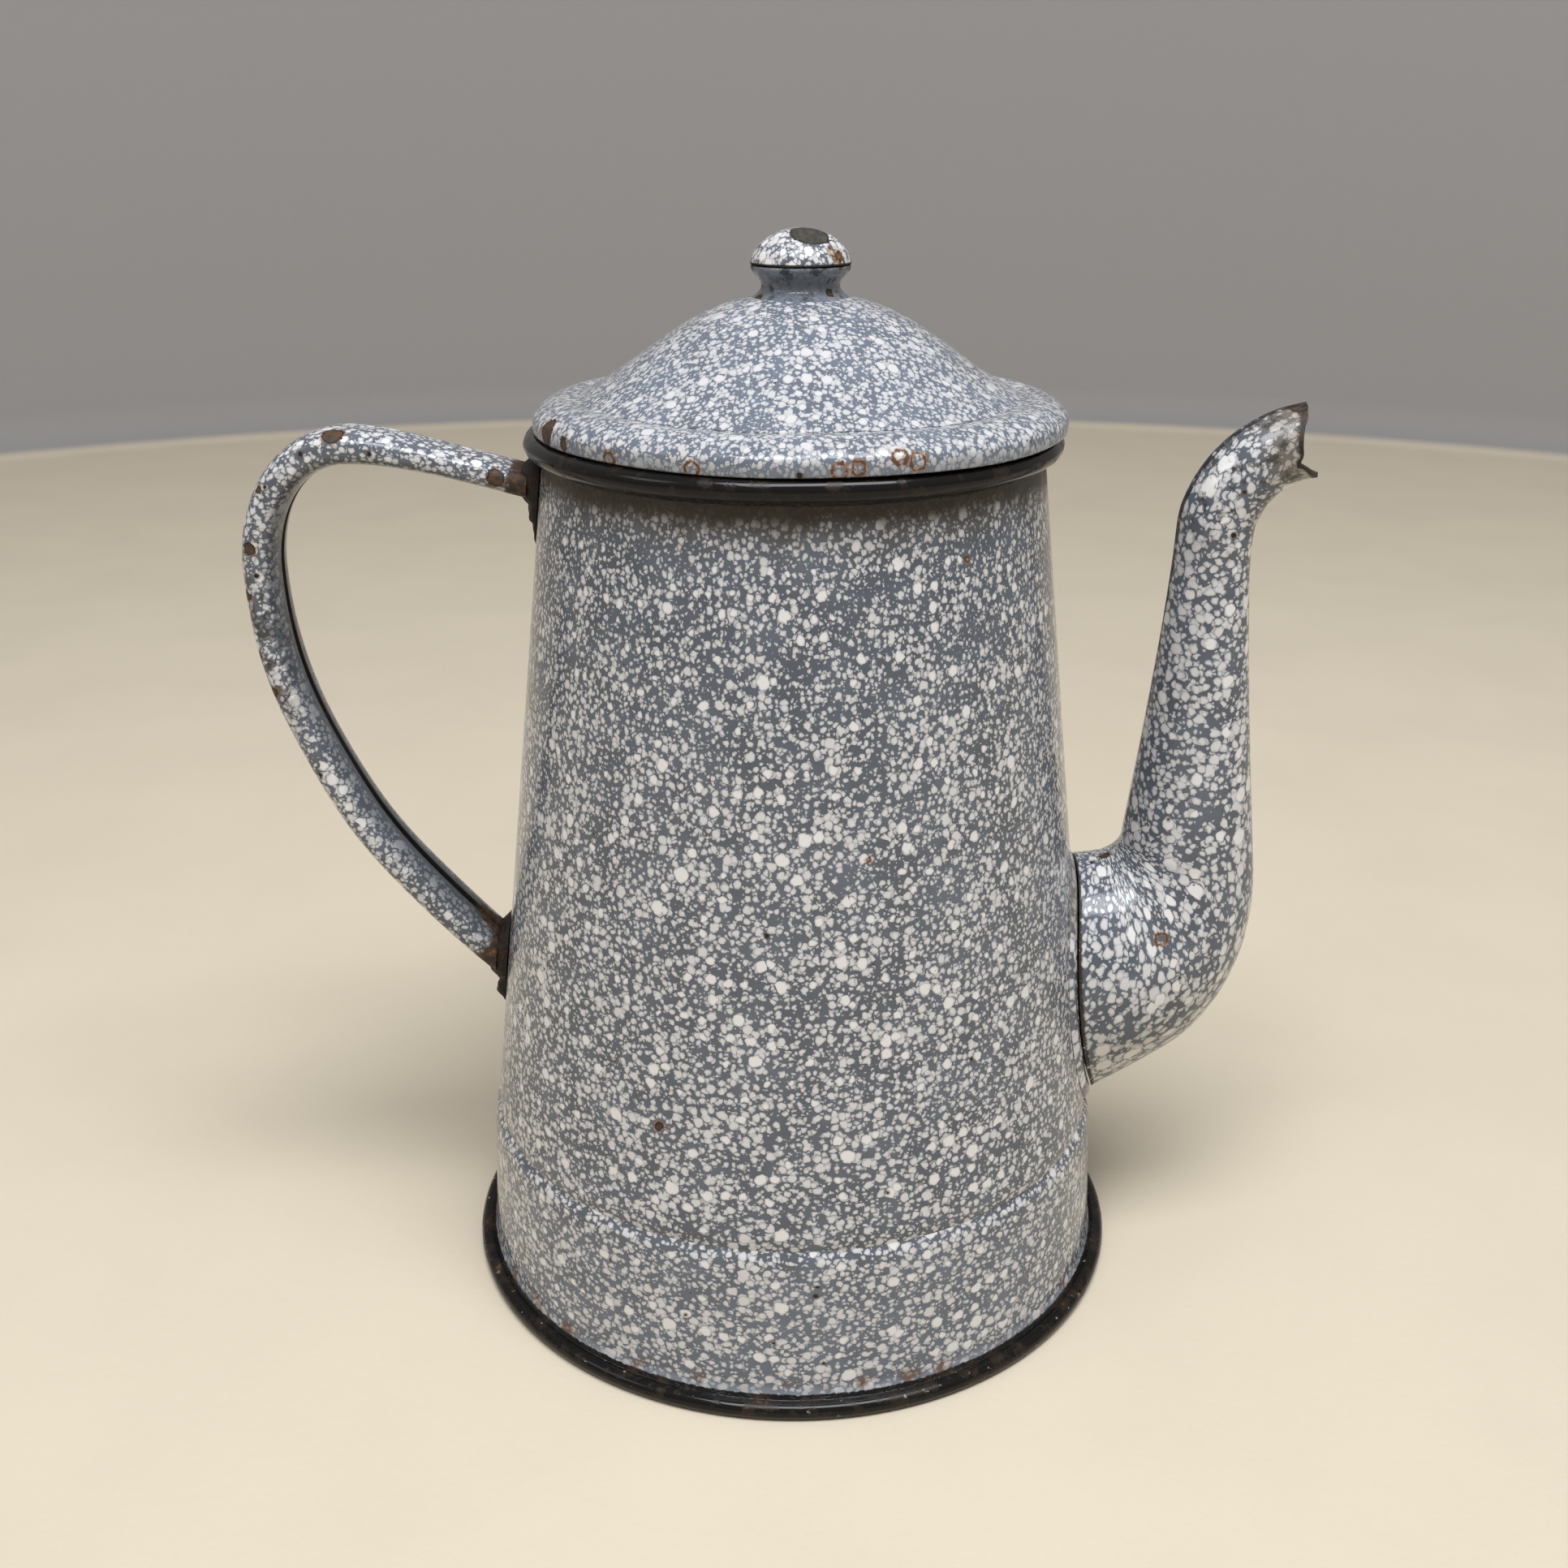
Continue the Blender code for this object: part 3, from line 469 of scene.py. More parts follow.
saddle_line = [(-0.5, 0.05), (3.2, 0.02), (3.2, 0.12), (1.4, 0.95), (-0.5, 1.0), (-0.5, 0.05)]
saddle_line = eased(saddle_line, 0.8)[:-1]
saddle_points = np.array([on_cone(grow, lift, 160) for grow, lift in saddle_line])
faces, places = grid_faces(*saddle_points.shape[:2], True, True)
spout_saddle = make_piece(
    "spout_saddle", saddle_points, faces, places[..., ::-1] * (0.95, 0.4), "pot",
    ["spout_collar"],
)

# %% [markdown]
# ## Handle
# The handle is a strap whose edges are rolled in until they nearly meet, so it is light but
# comfortable to grip. Three curves end to end give its line, and a rounded section follows it.

# %% Line of the strap
STRAP_TOP, STRAP_CREST = (-52.95, 173.8), (-89.0, 181.2)
STRAP_OUTER, STRAP_END = (-108.3, 156.0), (-65.4, 69.0)
STRAP_HALF, STRAP_THIN, STRAP_DEEP, STRAP_SLOT = 7.2, 3.0, 3.7, 0.6


def bent(points, steps):
    """A curve pulled by four points."""
    t = np.arange(steps)[:, None] / steps
    a, b, c, d = (np.array(p, float) for p in points)
    return (1 - t) ** 3 * a + 3 * (1 - t) ** 2 * t * b + 3 * (1 - t) * t**2 * c + t**3 * d


def strap_line(steps=36):
    """The strap's centre line from the rim to the lower lug."""
    (tx, tz), (cx, cz), (ox, oz), (ex, ez) = STRAP_TOP, STRAP_CREST, STRAP_OUTER, STRAP_END
    runs = (
        (STRAP_TOP, (tx - 12, tz + 3), (cx + 10, cz), STRAP_CREST),
        (STRAP_CREST, (cx - 11.5, cz), (ox, oz + 14), STRAP_OUTER),
        (STRAP_OUTER, (ox, oz - 27), (ex - 32, ez + 31), STRAP_END),
    )
    return np.concatenate([bent(run, steps) for run in runs] + [[STRAP_END]])


# %% The strap
def squared(wave, power):
    """A cosine or sine that stays longer near 1, which makes an ellipse boxier."""
    return np.sign(wave) * abs(wave) ** power


def strap_skin(line, offset, around):
    """The strap's skin at an offset from the middle of its wall."""
    along = np.gradient(line, axis=0)
    along /= np.linalg.norm(along, axis=1, keepdims=True)
    outward = np.stack([along[:, 1], -along[:, 0]], axis=1)
    slant = np.array((CONE_LOW[0] - CONE_TOP[0], CONE_TOP[1] - CONE_LOW[1]))
    slant /= np.linalg.norm(slant)
    for end in (0, -1):
        outward[end] = slant / slant.dot(outward[end])
    ramp = np.clip((np.linspace(0, 1, len(line)) - 0.12) / 0.3, 0, 1)
    depth = STRAP_THIN + (STRAP_DEEP - STRAP_THIN) * ramp * ramp * (3 - 2 * ramp)
    across = squared(np.cos(around), 0.8) * (STRAP_HALF - WALL / 2 + offset)
    out = squared(np.sin(around), 0.7) * (depth[:, None] - WALL / 2 + offset)
    x = POT_AXIS + line[:, :1] + outward[:, :1] * out
    z = line[:, 1:] + outward[:, 1:] * out
    return np.stack([x, np.broadcast_to(across, x.shape), z], axis=-1)


line = strap_line()
start = math.asin(STRAP_SLOT / STRAP_HALF)
around = np.linspace(-math.pi / 2 + start, 3 * math.pi / 2 - start, 61)
outer, inner = (strap_skin(line, offset, around) for offset in (WALL / 2, -WALL / 2))
outer += waves(outer, 30, 21)[..., None] * np.array((0.12, 0.1, 0.1))
run, girth = run_along(line), run_along(outer[len(line) // 2])
STRAP_LONG, STRAP_GIRTH = float(run[-1]), float(girth[-1])
strap_map = np.stack(np.meshgrid(run, girth, indexing="ij"), axis=-1)
handle_grip = two_skins(
    "handle_grip", outer, inner, strap_map, "pot", ["handle_strap"],
)
print("strap is", round(STRAP_LONG, 1), "mm long")

# %% [markdown]
# ## Lugs
# A tongue of steel is brazed to the wall at each end of the strap and runs out downwards in a
# point. The braze has filled the corner between strap and wall, so each lug is a lump whose
# width and thickness change with height, and rust has made it uneven.

# %% The two lugs
def lug(name, node, profile, rows=70, columns=33):
    """A lump on the wall. A row of the profile is a height, a half width and a thickness."""
    heights, halves, thicks = np.array(profile).T
    z = np.linspace(heights[0], heights[-1], rows)[:, None]
    half, thick = np.interp(z, heights, halves), np.interp(z, heights, thicks)
    a = np.linspace(0, math.pi, columns)
    y = np.hstack([half * np.cos(a), -half * np.cos(a[1:-1])])
    out = np.hstack([thick * np.sin(a) ** 0.75, np.zeros((rows, columns - 2))])
    lumps = waves(np.stack([out, y, np.broadcast_to(z, y.shape)], axis=-1), 3.0, 61)
    out *= 1 + 0.10 * lumps
    x = POT_AXIS - np.sqrt((cone_radius(z) + 0.3 + out) ** 2 - y * y)
    points = np.stack([x, y, np.broadcast_to(z, y.shape)], axis=-1)
    faces, places = grid_faces(*y.shape, False, True)
    return make_piece(name, points, faces, places * (0.25, 0.4), "pot", [node])


UPPER_LUG = (
    (160.6, 0.0, 0.0), (162.0, 1.0, 0.5), (165.2, 2.3, 0.9), (166.3, 3.6, 1.7),
    (169.6, 5.6, 2.0), (171.4, 6.9, 3.4), (174.0, 7.3, 5.2), (176.6, 7.0, 4.6),
    (178.3, 6.0, 2.4), (179.2, 3.0, 0.6), (179.4, 0.0, 0.0),
)
LOWER_LUG = (
    (54.9, 0.0, 0.0), (56.6, 1.1, 1.0), (58.4, 2.6, 2.3), (60.2, 3.2, 2.1),
    (61.8, 3.4, 1.4), (63.4, 5.2, 2.4), (66.0, 6.8, 4.4), (69.0, 7.3, 5.2),
    (72.0, 7.0, 4.4), (74.5, 6.0, 2.4), (76.5, 4.0, 1.0), (77.6, 0.0, 0.0),
)
lug_upper = lug("lug_upper", "upper_handle_lug", UPPER_LUG)
lug_lower = lug("lug_lower", "lower_handle_lug", LOWER_LUG)

# %% [markdown]
# ## Lid
# The lid is a dome that flattens into a brim, with a faint groove where they meet, and turns down
# at the edge. A collar soldered under it drops into the pot's mouth.

# %% The lid
DOME_TOP, DOME_LOW, DOME_R, GROOVE_R = 210.3, 190.2, 50.0, 43.2
BRIM_Z, LID_R, LIP_Z, GROOVE_DEEP, GROOVE_WIDE = 191.4, 52.7, 185.0, 0.36, 1.2


def dome_height(radius):
    share = 0.5 + 0.5 * math.cos(math.pi * (radius / DOME_R) ** 1.3)
    return DOME_LOW + (DOME_TOP - DOME_LOW) * share


def groove(radius):
    """The shallow ring pressed between dome and brim."""
    return -GROOVE_DEEP * math.exp(-((radius - GROOVE_R) / GROOVE_WIDE) ** 2)


def lid_dents(points):
    """Slight unevenness of the brim, and the small crease at its right."""
    x, y = points[..., 0] - LID_AXIS, points[..., 1]
    points[..., 2] += waves(points, 46, 31) * 0.14 * np.clip((np.hypot(x, y) - 20) / 25, 0, 1)
    points[..., 2] -= np.exp(-((x - 37) / 4) ** 2 - ((y + 13) / 2) ** 2) * 0.5
    return points


crown = [(r, dome_height(r) + groove(r)) for r in np.linspace(2.2, 44.0, 60)]
brim = [crown[-1], (47.4, BRIM_Z - 0.1), (50.6, BRIM_Z - 1.4), (52.5, BRIM_Z - 3.2)]
brim = eased(brim + [(LID_R, BRIM_Z - 4.9)], 2.4, 8)
lip = [(LID_R, BRIM_Z - 4.9), (LID_R - 0.1, LIP_Z), (LID_R - 1.0, LIP_Z), (51.2, 187.0)]
lip = eased(lip + [(49.9, 188.9)], 0.55, 6)
below = eased([(49.9, 188.9), (47.1, BRIM_Z - 1.1), (43.5, dome_height(43.5) - WALL)], 1.5)
hollow = [(r, z - WALL) for r, z in crown[::-1][1:]]
over_lid = filled(crown + brim[1:] + lip[1:], 1.2)
under_lid = filled([lip[-1]] + below[1:] + hollow, 1.2)[1:]
lid_cover = spin(
    "lid_cover", over_lid + under_lid, LID_AXIS, "lid", ["lid_shell"],
    kind_at=[0] * len(over_lid) + [1] * len(under_lid), change=lid_dents, apex=-2.2,
)
collar = [(46.0, 176.0), (46.0, 189.3), (45.2, 190.1), (43.0, 190.1), (43.0, 189.2)]
collar += [(45.1, 189.2), (45.1, 176.0)]
lid_sleeve = spin(
    "lid_sleeve", filled(eased(collar + collar[:1], 0.3, 2)[:-1], 4), LID_AXIS, "lid",
    ["lid_collar"], steps=160,
)

# %% [markdown]
# ## Knob
# The knob is two small pressings, a waisted stem and a domed cap, closed round a seam that the
# enamel has not filled. Its top has lost its enamel where hands and shelves have rubbed it, so
# the cap is flattened there.

# %% The knob
KNOB_R, KNOB_SEAM, KNOB_TOP = 9.75, 215.9, 222.4
STEM_OUTSIDE = ((9.6, -0.75), (8.6, -0.1), (7.7, 0.9), (7.55, 1.8), (8.3, 3.0), (9.45, 4.2))
STEM_INSIDE = (
    (8.0, 3.9), (6.8, 2.4), (6.7, 1.3), (2.2, 1.3), (2.2, 0.3), (7.1, 0.3), (9.4, -0.85),
)
stem = [(r, DOME_TOP + z) for r, z in STEM_OUTSIDE]
stem += [(KNOB_R, KNOB_SEAM - 0.7), (KNOB_R - 0.1, KNOB_SEAM - 0.2)]
stem += [(KNOB_R - WALL, KNOB_SEAM - 0.2)] + [(r, DOME_TOP + z) for r, z in STEM_INSIDE]
knob_stem = spin(
    "knob_stem", filled(eased(stem, 0.7), 0.6), LID_AXIS, "lid", ["knob_neck"],
    steps=120, scale=8.5,
)


def cap_line(radius, rise, steps=26):
    """The outline of the domed cap, from the seam to its top on the axis."""
    turns = np.linspace(0, math.pi / 2, steps)
    line = [(radius * math.cos(a), KNOB_SEAM + rise * math.sin(a) ** 1.15) for a in turns]
    return line[:-1] + [(0.0, line[-1][1])]


WORN_TOP = np.array((LID_AXIS + 1.7, -3.3, 221.0))
WORN_WAY = np.array((0.36, -0.62, 1.0))


def worn_flat(points):
    """Rub the cap down to a slanting flat."""
    way = WORN_WAY / np.linalg.norm(WORN_WAY)
    over = (points - WORN_TOP) @ way
    outer = points[..., 2] > KNOB_SEAM + 4.6
    points -= (np.maximum(over, 0) * outer)[..., None] * way
    points += waves(points, 7, 41)[..., None] * 0.05 * way
    return points


rise = KNOB_TOP - KNOB_SEAM
outer_cap, inner_cap = cap_line(KNOB_R, rise), cap_line(KNOB_R - WALL, rise - 1.4)
rounded_edge = [(KNOB_R - 0.25, KNOB_SEAM - 0.1)]
knob_button = spin(
    "knob_button", rounded_edge + outer_cap + inner_cap[::-1], LID_AXIS, "lid",
    ["knob_cap"], steps=160, change=worn_flat, apex=run_along(rounded_edge + outer_cap)[-1],
)

# %% [markdown]
# ## Percolator works
# Nothing of the works shows while the lid is on. A pump tube stands on a bell foot, and a stop
# on the tube carries the basket, whose spreader lid lets the water trickle through.

# %% The pump
def works(name, line, body, node, steps):
    """A piece of the works, turned about the pot's axis."""
    return spin(name, line, POT_AXIS, body, [node], steps)


TUBE_R, TUBE_BORE, BELL_R, BELL_Z = 3.5, 2.7, 22.0, 30.1
tube = [(TUBE_R, 36.0), (TUBE_R, 187.7), (3.3, 188.0), (TUBE_BORE, 188.0), (TUBE_BORE, 36.0)]
pump_tube = works("perc_tube", filled(tube, 6), "pump", "pump_tube", 64)
bell = [(BELL_R, BELL_Z), (BELL_R - 0.5, BELL_Z + 3), (8, 45.5), (4.7, 50), (4.7, 56), (3.8, 56)]
bell += [(3.8, 49.6), (7.2, 45.0), (BELL_R - 1.5, BELL_Z + 2.7), (BELL_R - WALL, BELL_Z)]
pump_bell = works("perc_bell", filled(eased(bell, 2.0), 2), "pump", "pump_foot", 120)
for i in range(6):
    a = math.pi * (i + 0.5) / 3
    place = (POT_AXIS + BELL_R * math.cos(a), BELL_R * math.sin(a), BELL_Z + 0.4)
    punch(pump_bell, [place], 2.0, (math.cos(a), math.sin(a), 0), 12, 16)
stop = eased([(3.8, 116), (6.6, 116), (7.5, 116.8), (7.5, 118.2), (6.9, 118.4), (3.8, 118.4)], 0.4)
basket_ledge = works("perc_ledge", stop, "pump", "basket_stop", 64)


# %% The basket and its spreader
def hole_rings(rings, height, pitch):
    """Hole centres evenly spaced on circles."""
    places = []
    for radius in rings:
        count = int(2 * math.pi * radius / pitch)
        turns = [2 * math.pi * i / count for i in range(count)]
        places += [(POT_AXIS + radius * math.cos(a), radius * math.sin(a), height) for a in turns]
    return places


cup = [(5.3, 119), (32, 119), (34.8, 120.4), (36, 124), (36, 161.5), (36.9, 162.4), (36.9, 163)]
cup += [(35.1, 163), (35.1, 124.2), (34.0, 121.2), (31.8, 119.9), (5.3, 119.9)]
basket_cup = works("coffee_basket", filled(eased(cup, 1.2), 4), "basket", "basket_cup", 160)
punch(basket_cup, hole_rings((14, 25), 119.4, 13), 1.3, (0, 0, 1), 6, 16)
sleeve = [(4, 118.7), (5, 118.7), (5, 120.2), (9, 120.2), (9, 121), (5, 121), (5, 161), (4, 161)]
basket_sleeve = works("basket_core", filled(eased(sleeve, 0.3), 5), "basket", "basket_sleeve", 64)
plate = [(4, 163.3), (36.6, 163.3), (37, 163.8), (37, 167.3), (36.2, 167.3), (36.2, 164.2)]
plate += [(5, 164.2), (5, 167.3), (4, 167.3)]
spreader = works("water_spreader", filled(eased(plate, 0.4), 4), "spreader", "basket_lid", 160)
punch(spreader, hole_rings((14, 27), 163.8, 16), 1.0, (0, 0, 1), 6, 14)

# %% [markdown]
# ## Writing finishes as sums
# A finish is a recipe over the surface: where the drops lie, where the rust has crept. `Amount`
# wraps one number of the recipe, and plain arithmetic on it adds the Math nodes. `Finish` holds
# the material and lays one coat over another, as the enameller and the years did.

# %% Amounts
class Amount:
    """A number that varies over a surface. Arithmetic on it adds Math nodes."""

    def __init__(self, finish, socket):
        self.finish, self.socket = finish, socket

    def sum_of(self, operation, *values):
        return self.finish.add("ShaderNodeMath", {"operation": operation}, dict(enumerate(values)))

    def __add__(self, other):
        return self.sum_of("ADD", self, other)

    def __sub__(self, other):
        return self.sum_of("SUBTRACT", self, other)

    def __rsub__(self, other):
        return self.sum_of("SUBTRACT", other, self)

    def __mul__(self, other):
        return self.sum_of("MULTIPLY", self, other)

    def __abs__(self):
        return self.sum_of("ABSOLUTE", self)

    __radd__, __rmul__ = __add__, __mul__

    def least(self, other):
        return self.sum_of("MINIMUM", self, other)

    def most(self, other):
        return self.sum_of("MAXIMUM", self, other)

    def rise(self, low, high):
        """0 below low, 1 above high, and a smooth rise between. low may be the larger."""
        return self.finish.add(
            "ShaderNodeMapRange", {"interpolation_type": "SMOOTHSTEP"},
            {"Value": self, "From Min": low, "From Max": high},
        )

    def part(self, name):
        """Another output of the node that this amount comes from."""
        return Amount(self.finish, self.socket.node.outputs[name])


# %% Finishes
class Finish:
    """A material, made by laying coats over each other. here, and its x, y and z, is where a
    point is on the percolator at rest, in millimetres."""

    def __init__(self, name, colour, roughness, metallic=0.0, specular=0.5):
        self.material = bpy.data.materials.new(name)
        self.material.use_nodes = True
        self.tree = self.material.node_tree
        self.shader = self.tree.nodes["Principled BSDF"]
        self.shader.inputs["Specular IOR Level"].default_value = specular
        self.colour, self.roughness, self.metallic, self.height = colour, roughness, metallic, 0
        rest = self.add("ShaderNodeTexCoord", output="Object")
        self.here = self.vector("MULTIPLY", rest, (1 / MM,) * 3)
        self.x, self.y, self.z = self.axes(self.here)

    def add(self, kind, settings=None, sockets=None, output=0):
        """One node: its settings first, then the value or link of each socket."""
        made = self.tree.nodes.new(kind)
        for name, value in (settings or {}).items():
            setattr(made, name, value)
        self.fill(made, sockets or {})
        return Amount(self, made.outputs[output])

    def fill(self, node, sockets):
        for name, value in sockets.items():
            if isinstance(value, Amount):
                self.tree.links.new(value.socket, node.inputs[name])
            else:
                node.inputs[name].default_value = value

    def vector(self, operation, *values):
        return self.add("ShaderNodeVectorMath", {"operation": operation}, dict(enumerate(values)))

    def length(self, operation, *values):
        return self.vector(operation, *values).part("Value")

    def axes(self, place):
        x = self.add("ShaderNodeSeparateXYZ", None, {"Vector": place})
        return x, x.part("Y"), x.part("Z")

    def from_axis(self, axis):
        """The distance from an upright axis."""
        across = self.vector("SUBTRACT", self.here, (axis, 0, 0))
        return self.length("LENGTH", self.vector("MULTIPLY", across, (1, 1, 0)))

    def noise(self, size, detail=2.0, rough=0.5, place=None, kind="3D"):
        """Cloudy noise about 0.5, with that many millimetres from cloud to cloud."""
        place = place or self.here
        return self.add(
            "ShaderNodeTexNoise", {"noise_dimensions": kind},
            {"Vector": place, "Scale": 1 / size, "Detail": detail, "Roughness": rough}, "Fac",
        )

    def mixed(self, share, first, second):
        first, second = ((*c, 1) if isinstance(c, tuple) else c for c in (first, second))
        return self.add("ShaderNodeMix", {"data_type": "RGBA"}, {0: share, 6: first, 7: second}, 2)

    def lay(self, mask, colour, roughness=None, height=0.0):
        """Lay a coat where mask is 1. height is its thickness in millimetres."""
        self.colour = self.mixed(mask, self.colour, colour)
        if roughness is not None:
            self.roughness = (roughness - self.roughness) * mask + self.roughness
        if height:
            self.height = mask * height + self.height

    def done(self):
        """Join what was laid to the shader."""
        bump = {"Strength": 1.0, "Distance": MM, "Height": self.height}
        self.fill(self.shader, {
            "Base Color": self.colour, "Roughness": self.roughness, "Metallic": self.metallic,
            "Normal": self.add("ShaderNodeBump", None, bump),
        })
        print(self.material.name, len(self.tree.nodes), "nodes")
        return self.material


# %% [markdown]
# ## Spattered enamel
# The white is spattered onto the wet grey, so it lies in drops of every size. Cells of a Voronoi
# pattern each hold one drop with a radius of its own, and four sizes are laid, the large ones
# first. A drop pushes its neighbours' edge back a little, which leaves the thin grey lines
# between them, and where that gap closes they run together.

# %% Drops
GROUND = (0.012, 0.010, 0.009)
GREY_DEEP, GREY_PALE = (0.090, 0.099, 0.117), (0.150, 0.173, 0.214)
DROP_THIN, DROP_THICK = (0.42, 0.415, 0.42), (0.72, 0.695, 0.675)
# Each row is a size of drop: cell width, least and greatest radius, and the share of cells used.
DROP_SIZES = (
    (4.4, 0.85, 1.5, 0.38), (2.4, 0.55, 1.0, 0.85),
    (1.6, 0.38, 0.66, 0.92), (0.95, 0.17, 0.30, 0.5),
)
NEVER = 9


def drops_of(finish, spot, pitch, low, high, share, thin):
    """How deep inside a drop of this size a point lies, in millimetres, and under 0 outside."""
    cell = finish.add(
        "ShaderNodeTexVoronoi", {"voronoi_dimensions": "2D", "feature": "F1"},
        {"Vector": spot, "Scale": 1 / pitch, "Randomness": 0.95},
    )
    luck, other, _ = finish.axes(cell.part("Color"))
    radius = (luck * luck * (high - low) + low) * thin
    there = other.rise(share, share - 0.02)
    return radius - cell * pitch - (1 - there) * NEVER


def spatter(finish, spot, size, crowd):
    """How deep inside any drop each point lies, and how deep inside one of the largest."""
    jog = finish.add(
        "ShaderNodeTexNoise", {"noise_dimensions": "2D"},
        {"Vector": spot, "Scale": 0.6 / size, "Detail": 4.0}, "Color",
    )
    spot = finish.vector("MULTIPLY_ADD", jog, (1.3 * size,) * 3, spot)
    thin = (finish.noise(9 * size, 1.0, place=spot, kind="2D") - 0.5) * 1.1 + crowd
    gap = (finish.noise(2.6 * size, 1.0, place=spot, kind="2D") - 0.44) * 0.9 * size
    depth = big = None
    for number, (pitch, low, high, share) in enumerate(DROP_SIZES):
        moved = finish.vector("ADD", spot, (17.3 * number, 31.1 * number, 7.7 * number))
        layer = drops_of(finish, moved, pitch * size, low * size, high * size, share, thin)
        big = layer if big is None else big
        depth = layer if depth is None else depth.most(layer.least(depth * -1 - gap))
    return depth, big


# %% Speckled enamel
def enamel(name, size=1.0, crowd=1.0, skylit_pale=0.0, milk=1.0, bare=0.0):
    """A finish with speckled enamel laid. The pale amount lightens the grey ground; on the lid,
    and a little on the knob, whose tops face the sky, it is painted light from above. milk is how
    opaque the thickest drops are. bare is how much smaller the drops get towards the rim."""
    finish = Finish(name, GREY_DEEP, 0.16, specular=0.38)
    spot, z = finish.add("ShaderNodeUVMap", {"uv_map": "skin"}), finish.z
    light = finish.noise(9, 3.0).rise(0.3, 0.75) * 0.45 + z.rise(36, 28) * 0.4 + skylit_pale
    finish.colour = finish.mixed(light.least(1.0), GREY_DEEP, GREY_PALE)
    depth, big = spatter(finish, spot, size, z.rise(125, 165) * -bare + crowd)
    soft = 0.06 * size
    drop = depth.rise(-soft, soft)
    heart = depth.rise(0.0, 0.4 * size)
    fat = big.rise(-0.2, 0.5)
    tone = finish.mixed((heart * 0.62 + fat * 0.38) * milk, DROP_THIN, DROP_THICK)
    finish.lay(drop * 0.97, tone, None, 0.035)
    grain = finish.noise(0.7, 2.0)
    finish.roughness = grain.rise(0.35, 0.8) * 0.08 + 0.10
    finish.height = finish.height + finish.noise(5.5, 2.0) * 0.16 + grain * 0.012
    specks = finish.add("ShaderNodeTexVoronoi", None, {"Vector": finish.here, "Scale": 0.26})
    luck, _, other = finish.axes(specks.part("Color"))
    pin = (luck * 0.22 + 0.03 - specks * 3.85).rise(-0.05, 0.05) * other.rise(0.45, 0.47)
    finish.lay(pin * 0.9, GROUND, 0.5, -0.08)
    return finish, spot


# %% [markdown]
# ## Wear
# Enamel is glass, so a knock does not scratch it but flakes it off. A flake bares dark steel
# inside a ring of black ground coat, and rust creeps from its edge. Each flake has its place on
# the pot, and noise makes its outline ragged.

# %% Chips, rust rings and pits
STEEL, RUST, RUST_PALE = (0.038, 0.028, 0.021), (0.100, 0.045, 0.016), (0.28, 0.125, 0.042)


def nearest(finish, spots):
    """How deep inside the nearest of some round spots (x, y, z, radius) a point lies."""
    found = None
    for *place, radius in spots:
        depth = radius - finish.length("DISTANCE", finish.here, place)
        found = depth if found is None else found.most(depth)
    return found


def wear(finish, chips=(), rings=(), pits=()):
    """Lay flakes, rust rings and pits."""
    ragged = (finish.noise(1.3, 4.0, rough=0.65) - 0.5) * 2.0
    dirt = finish.noise(1.1, 3.0)
    if chips:
        depth = nearest(finish, chips) + ragged
        finish.lay(depth.rise(-1.1, -0.2) * dirt.rise(0.42, 0.62) * 0.75, RUST_PALE, 0.5)
        finish.lay(depth.rise(-0.28, -0.12), GROUND, 0.45, -0.10)
        bare = finish.mixed(dirt.rise(0.35, 0.7), STEEL, RUST)
        finish.lay(depth.rise(0.0, 0.2), bare, 0.62, -0.14)
    if rings:
        depth = nearest(finish, rings) + ragged * 0.8
        edge = abs(depth)
        finish.lay(edge.rise(0.8, 0.1) * dirt.rise(0.3, 0.6) * 0.7, RUST_PALE, 0.4)
        line = (edge + (dirt - 0.5) * 1.6).rise(0.30, 0.10) * depth.rise(-0.6, -0.3)
        finish.lay(line, RUST, 0.5, -0.05)
    if pits:
        depth = nearest(finish, pits) + ragged * 0.4
        finish.lay(depth.rise(-0.5, 0.0) * 0.6, RUST, 0.4)
        finish.lay(depth.rise(-0.05, 0.12), GROUND, 0.6, -0.12)
    return ragged, dirt


# %% [markdown]
# ## Finishes of the pot's skin
# The body's drops thin out towards the rim, below which hangs a band of brown coffee film. The
# bead and the foot's roll are black, and just above the roll the grey pooled as the pot
# drained, so few drops show there.

# %% Black edges
BLACK = (0.006, 0.0055, 0.005)


def black_edge(finish, mask, dirt):
    """Black enamel on a bead, worn brown in places."""
    finish.lay(mask, BLACK, 0.14)
    worn = finish.noise(5.0, 4.0, rough=0.65) + finish.z.rise(20, 5) * 0.03
    finish.lay(worn.rise(0.52, 0.64) * mask * 0.85, (0.022, 0.014, 0.009), 0.4, -0.02)
    finish.lay(worn.rise(0.66, 0.73) * dirt.rise(0.45, 0.6) * mask, (0.12, 0.065, 0.035), 0.55)


def bead_finish():
    """The bead and the foot's roll, which are wholly black."""
    finish = Finish("black_bead", BLACK, 0.12, specular=0.25)
    black_edge(finish, 1.0, finish.noise(1.1, 3.0))
    nick = finish.noise(1.7, 3.0).rise(0.68, 0.71) * finish.z.rise(20, 5)
    finish.lay(nick * 0.8, (0.30, 0.27, 0.23), 0.5)
    return finish.done()


# %% Body
BODY_CHIPS = ((-22.7, -58.5, 59.9, 0.75),)
BODY_RINGS = ((34.6, -40.8, 167.9, 0.5), (17.1, -55.9, 115.4, 0.35))
BODY_PITS = (
    (-1.6, -59.0, 101.4, 0.45), (7.8, -67.9, 27.0, 0.55), (-0.5, -68.5, 16.1, 0.4),
    (9.5, -68.7, 11.2, 0.3), (8.1, -67.9, 29.0, 0.3), (38.2, -52.3, 71.2, 0.35),
    (21.8, -63.0, 47.6, 0.3), (-33.5, -57.1, 27.4, 0.3), (-18.0, -65.0, 20.1, 0.3),
    (-40.0, 43.0, 120.0, 0.5), (22.0, 57.0, 70.0, 0.6), (-12.0, 57.0, 110.0, 0.4),
)


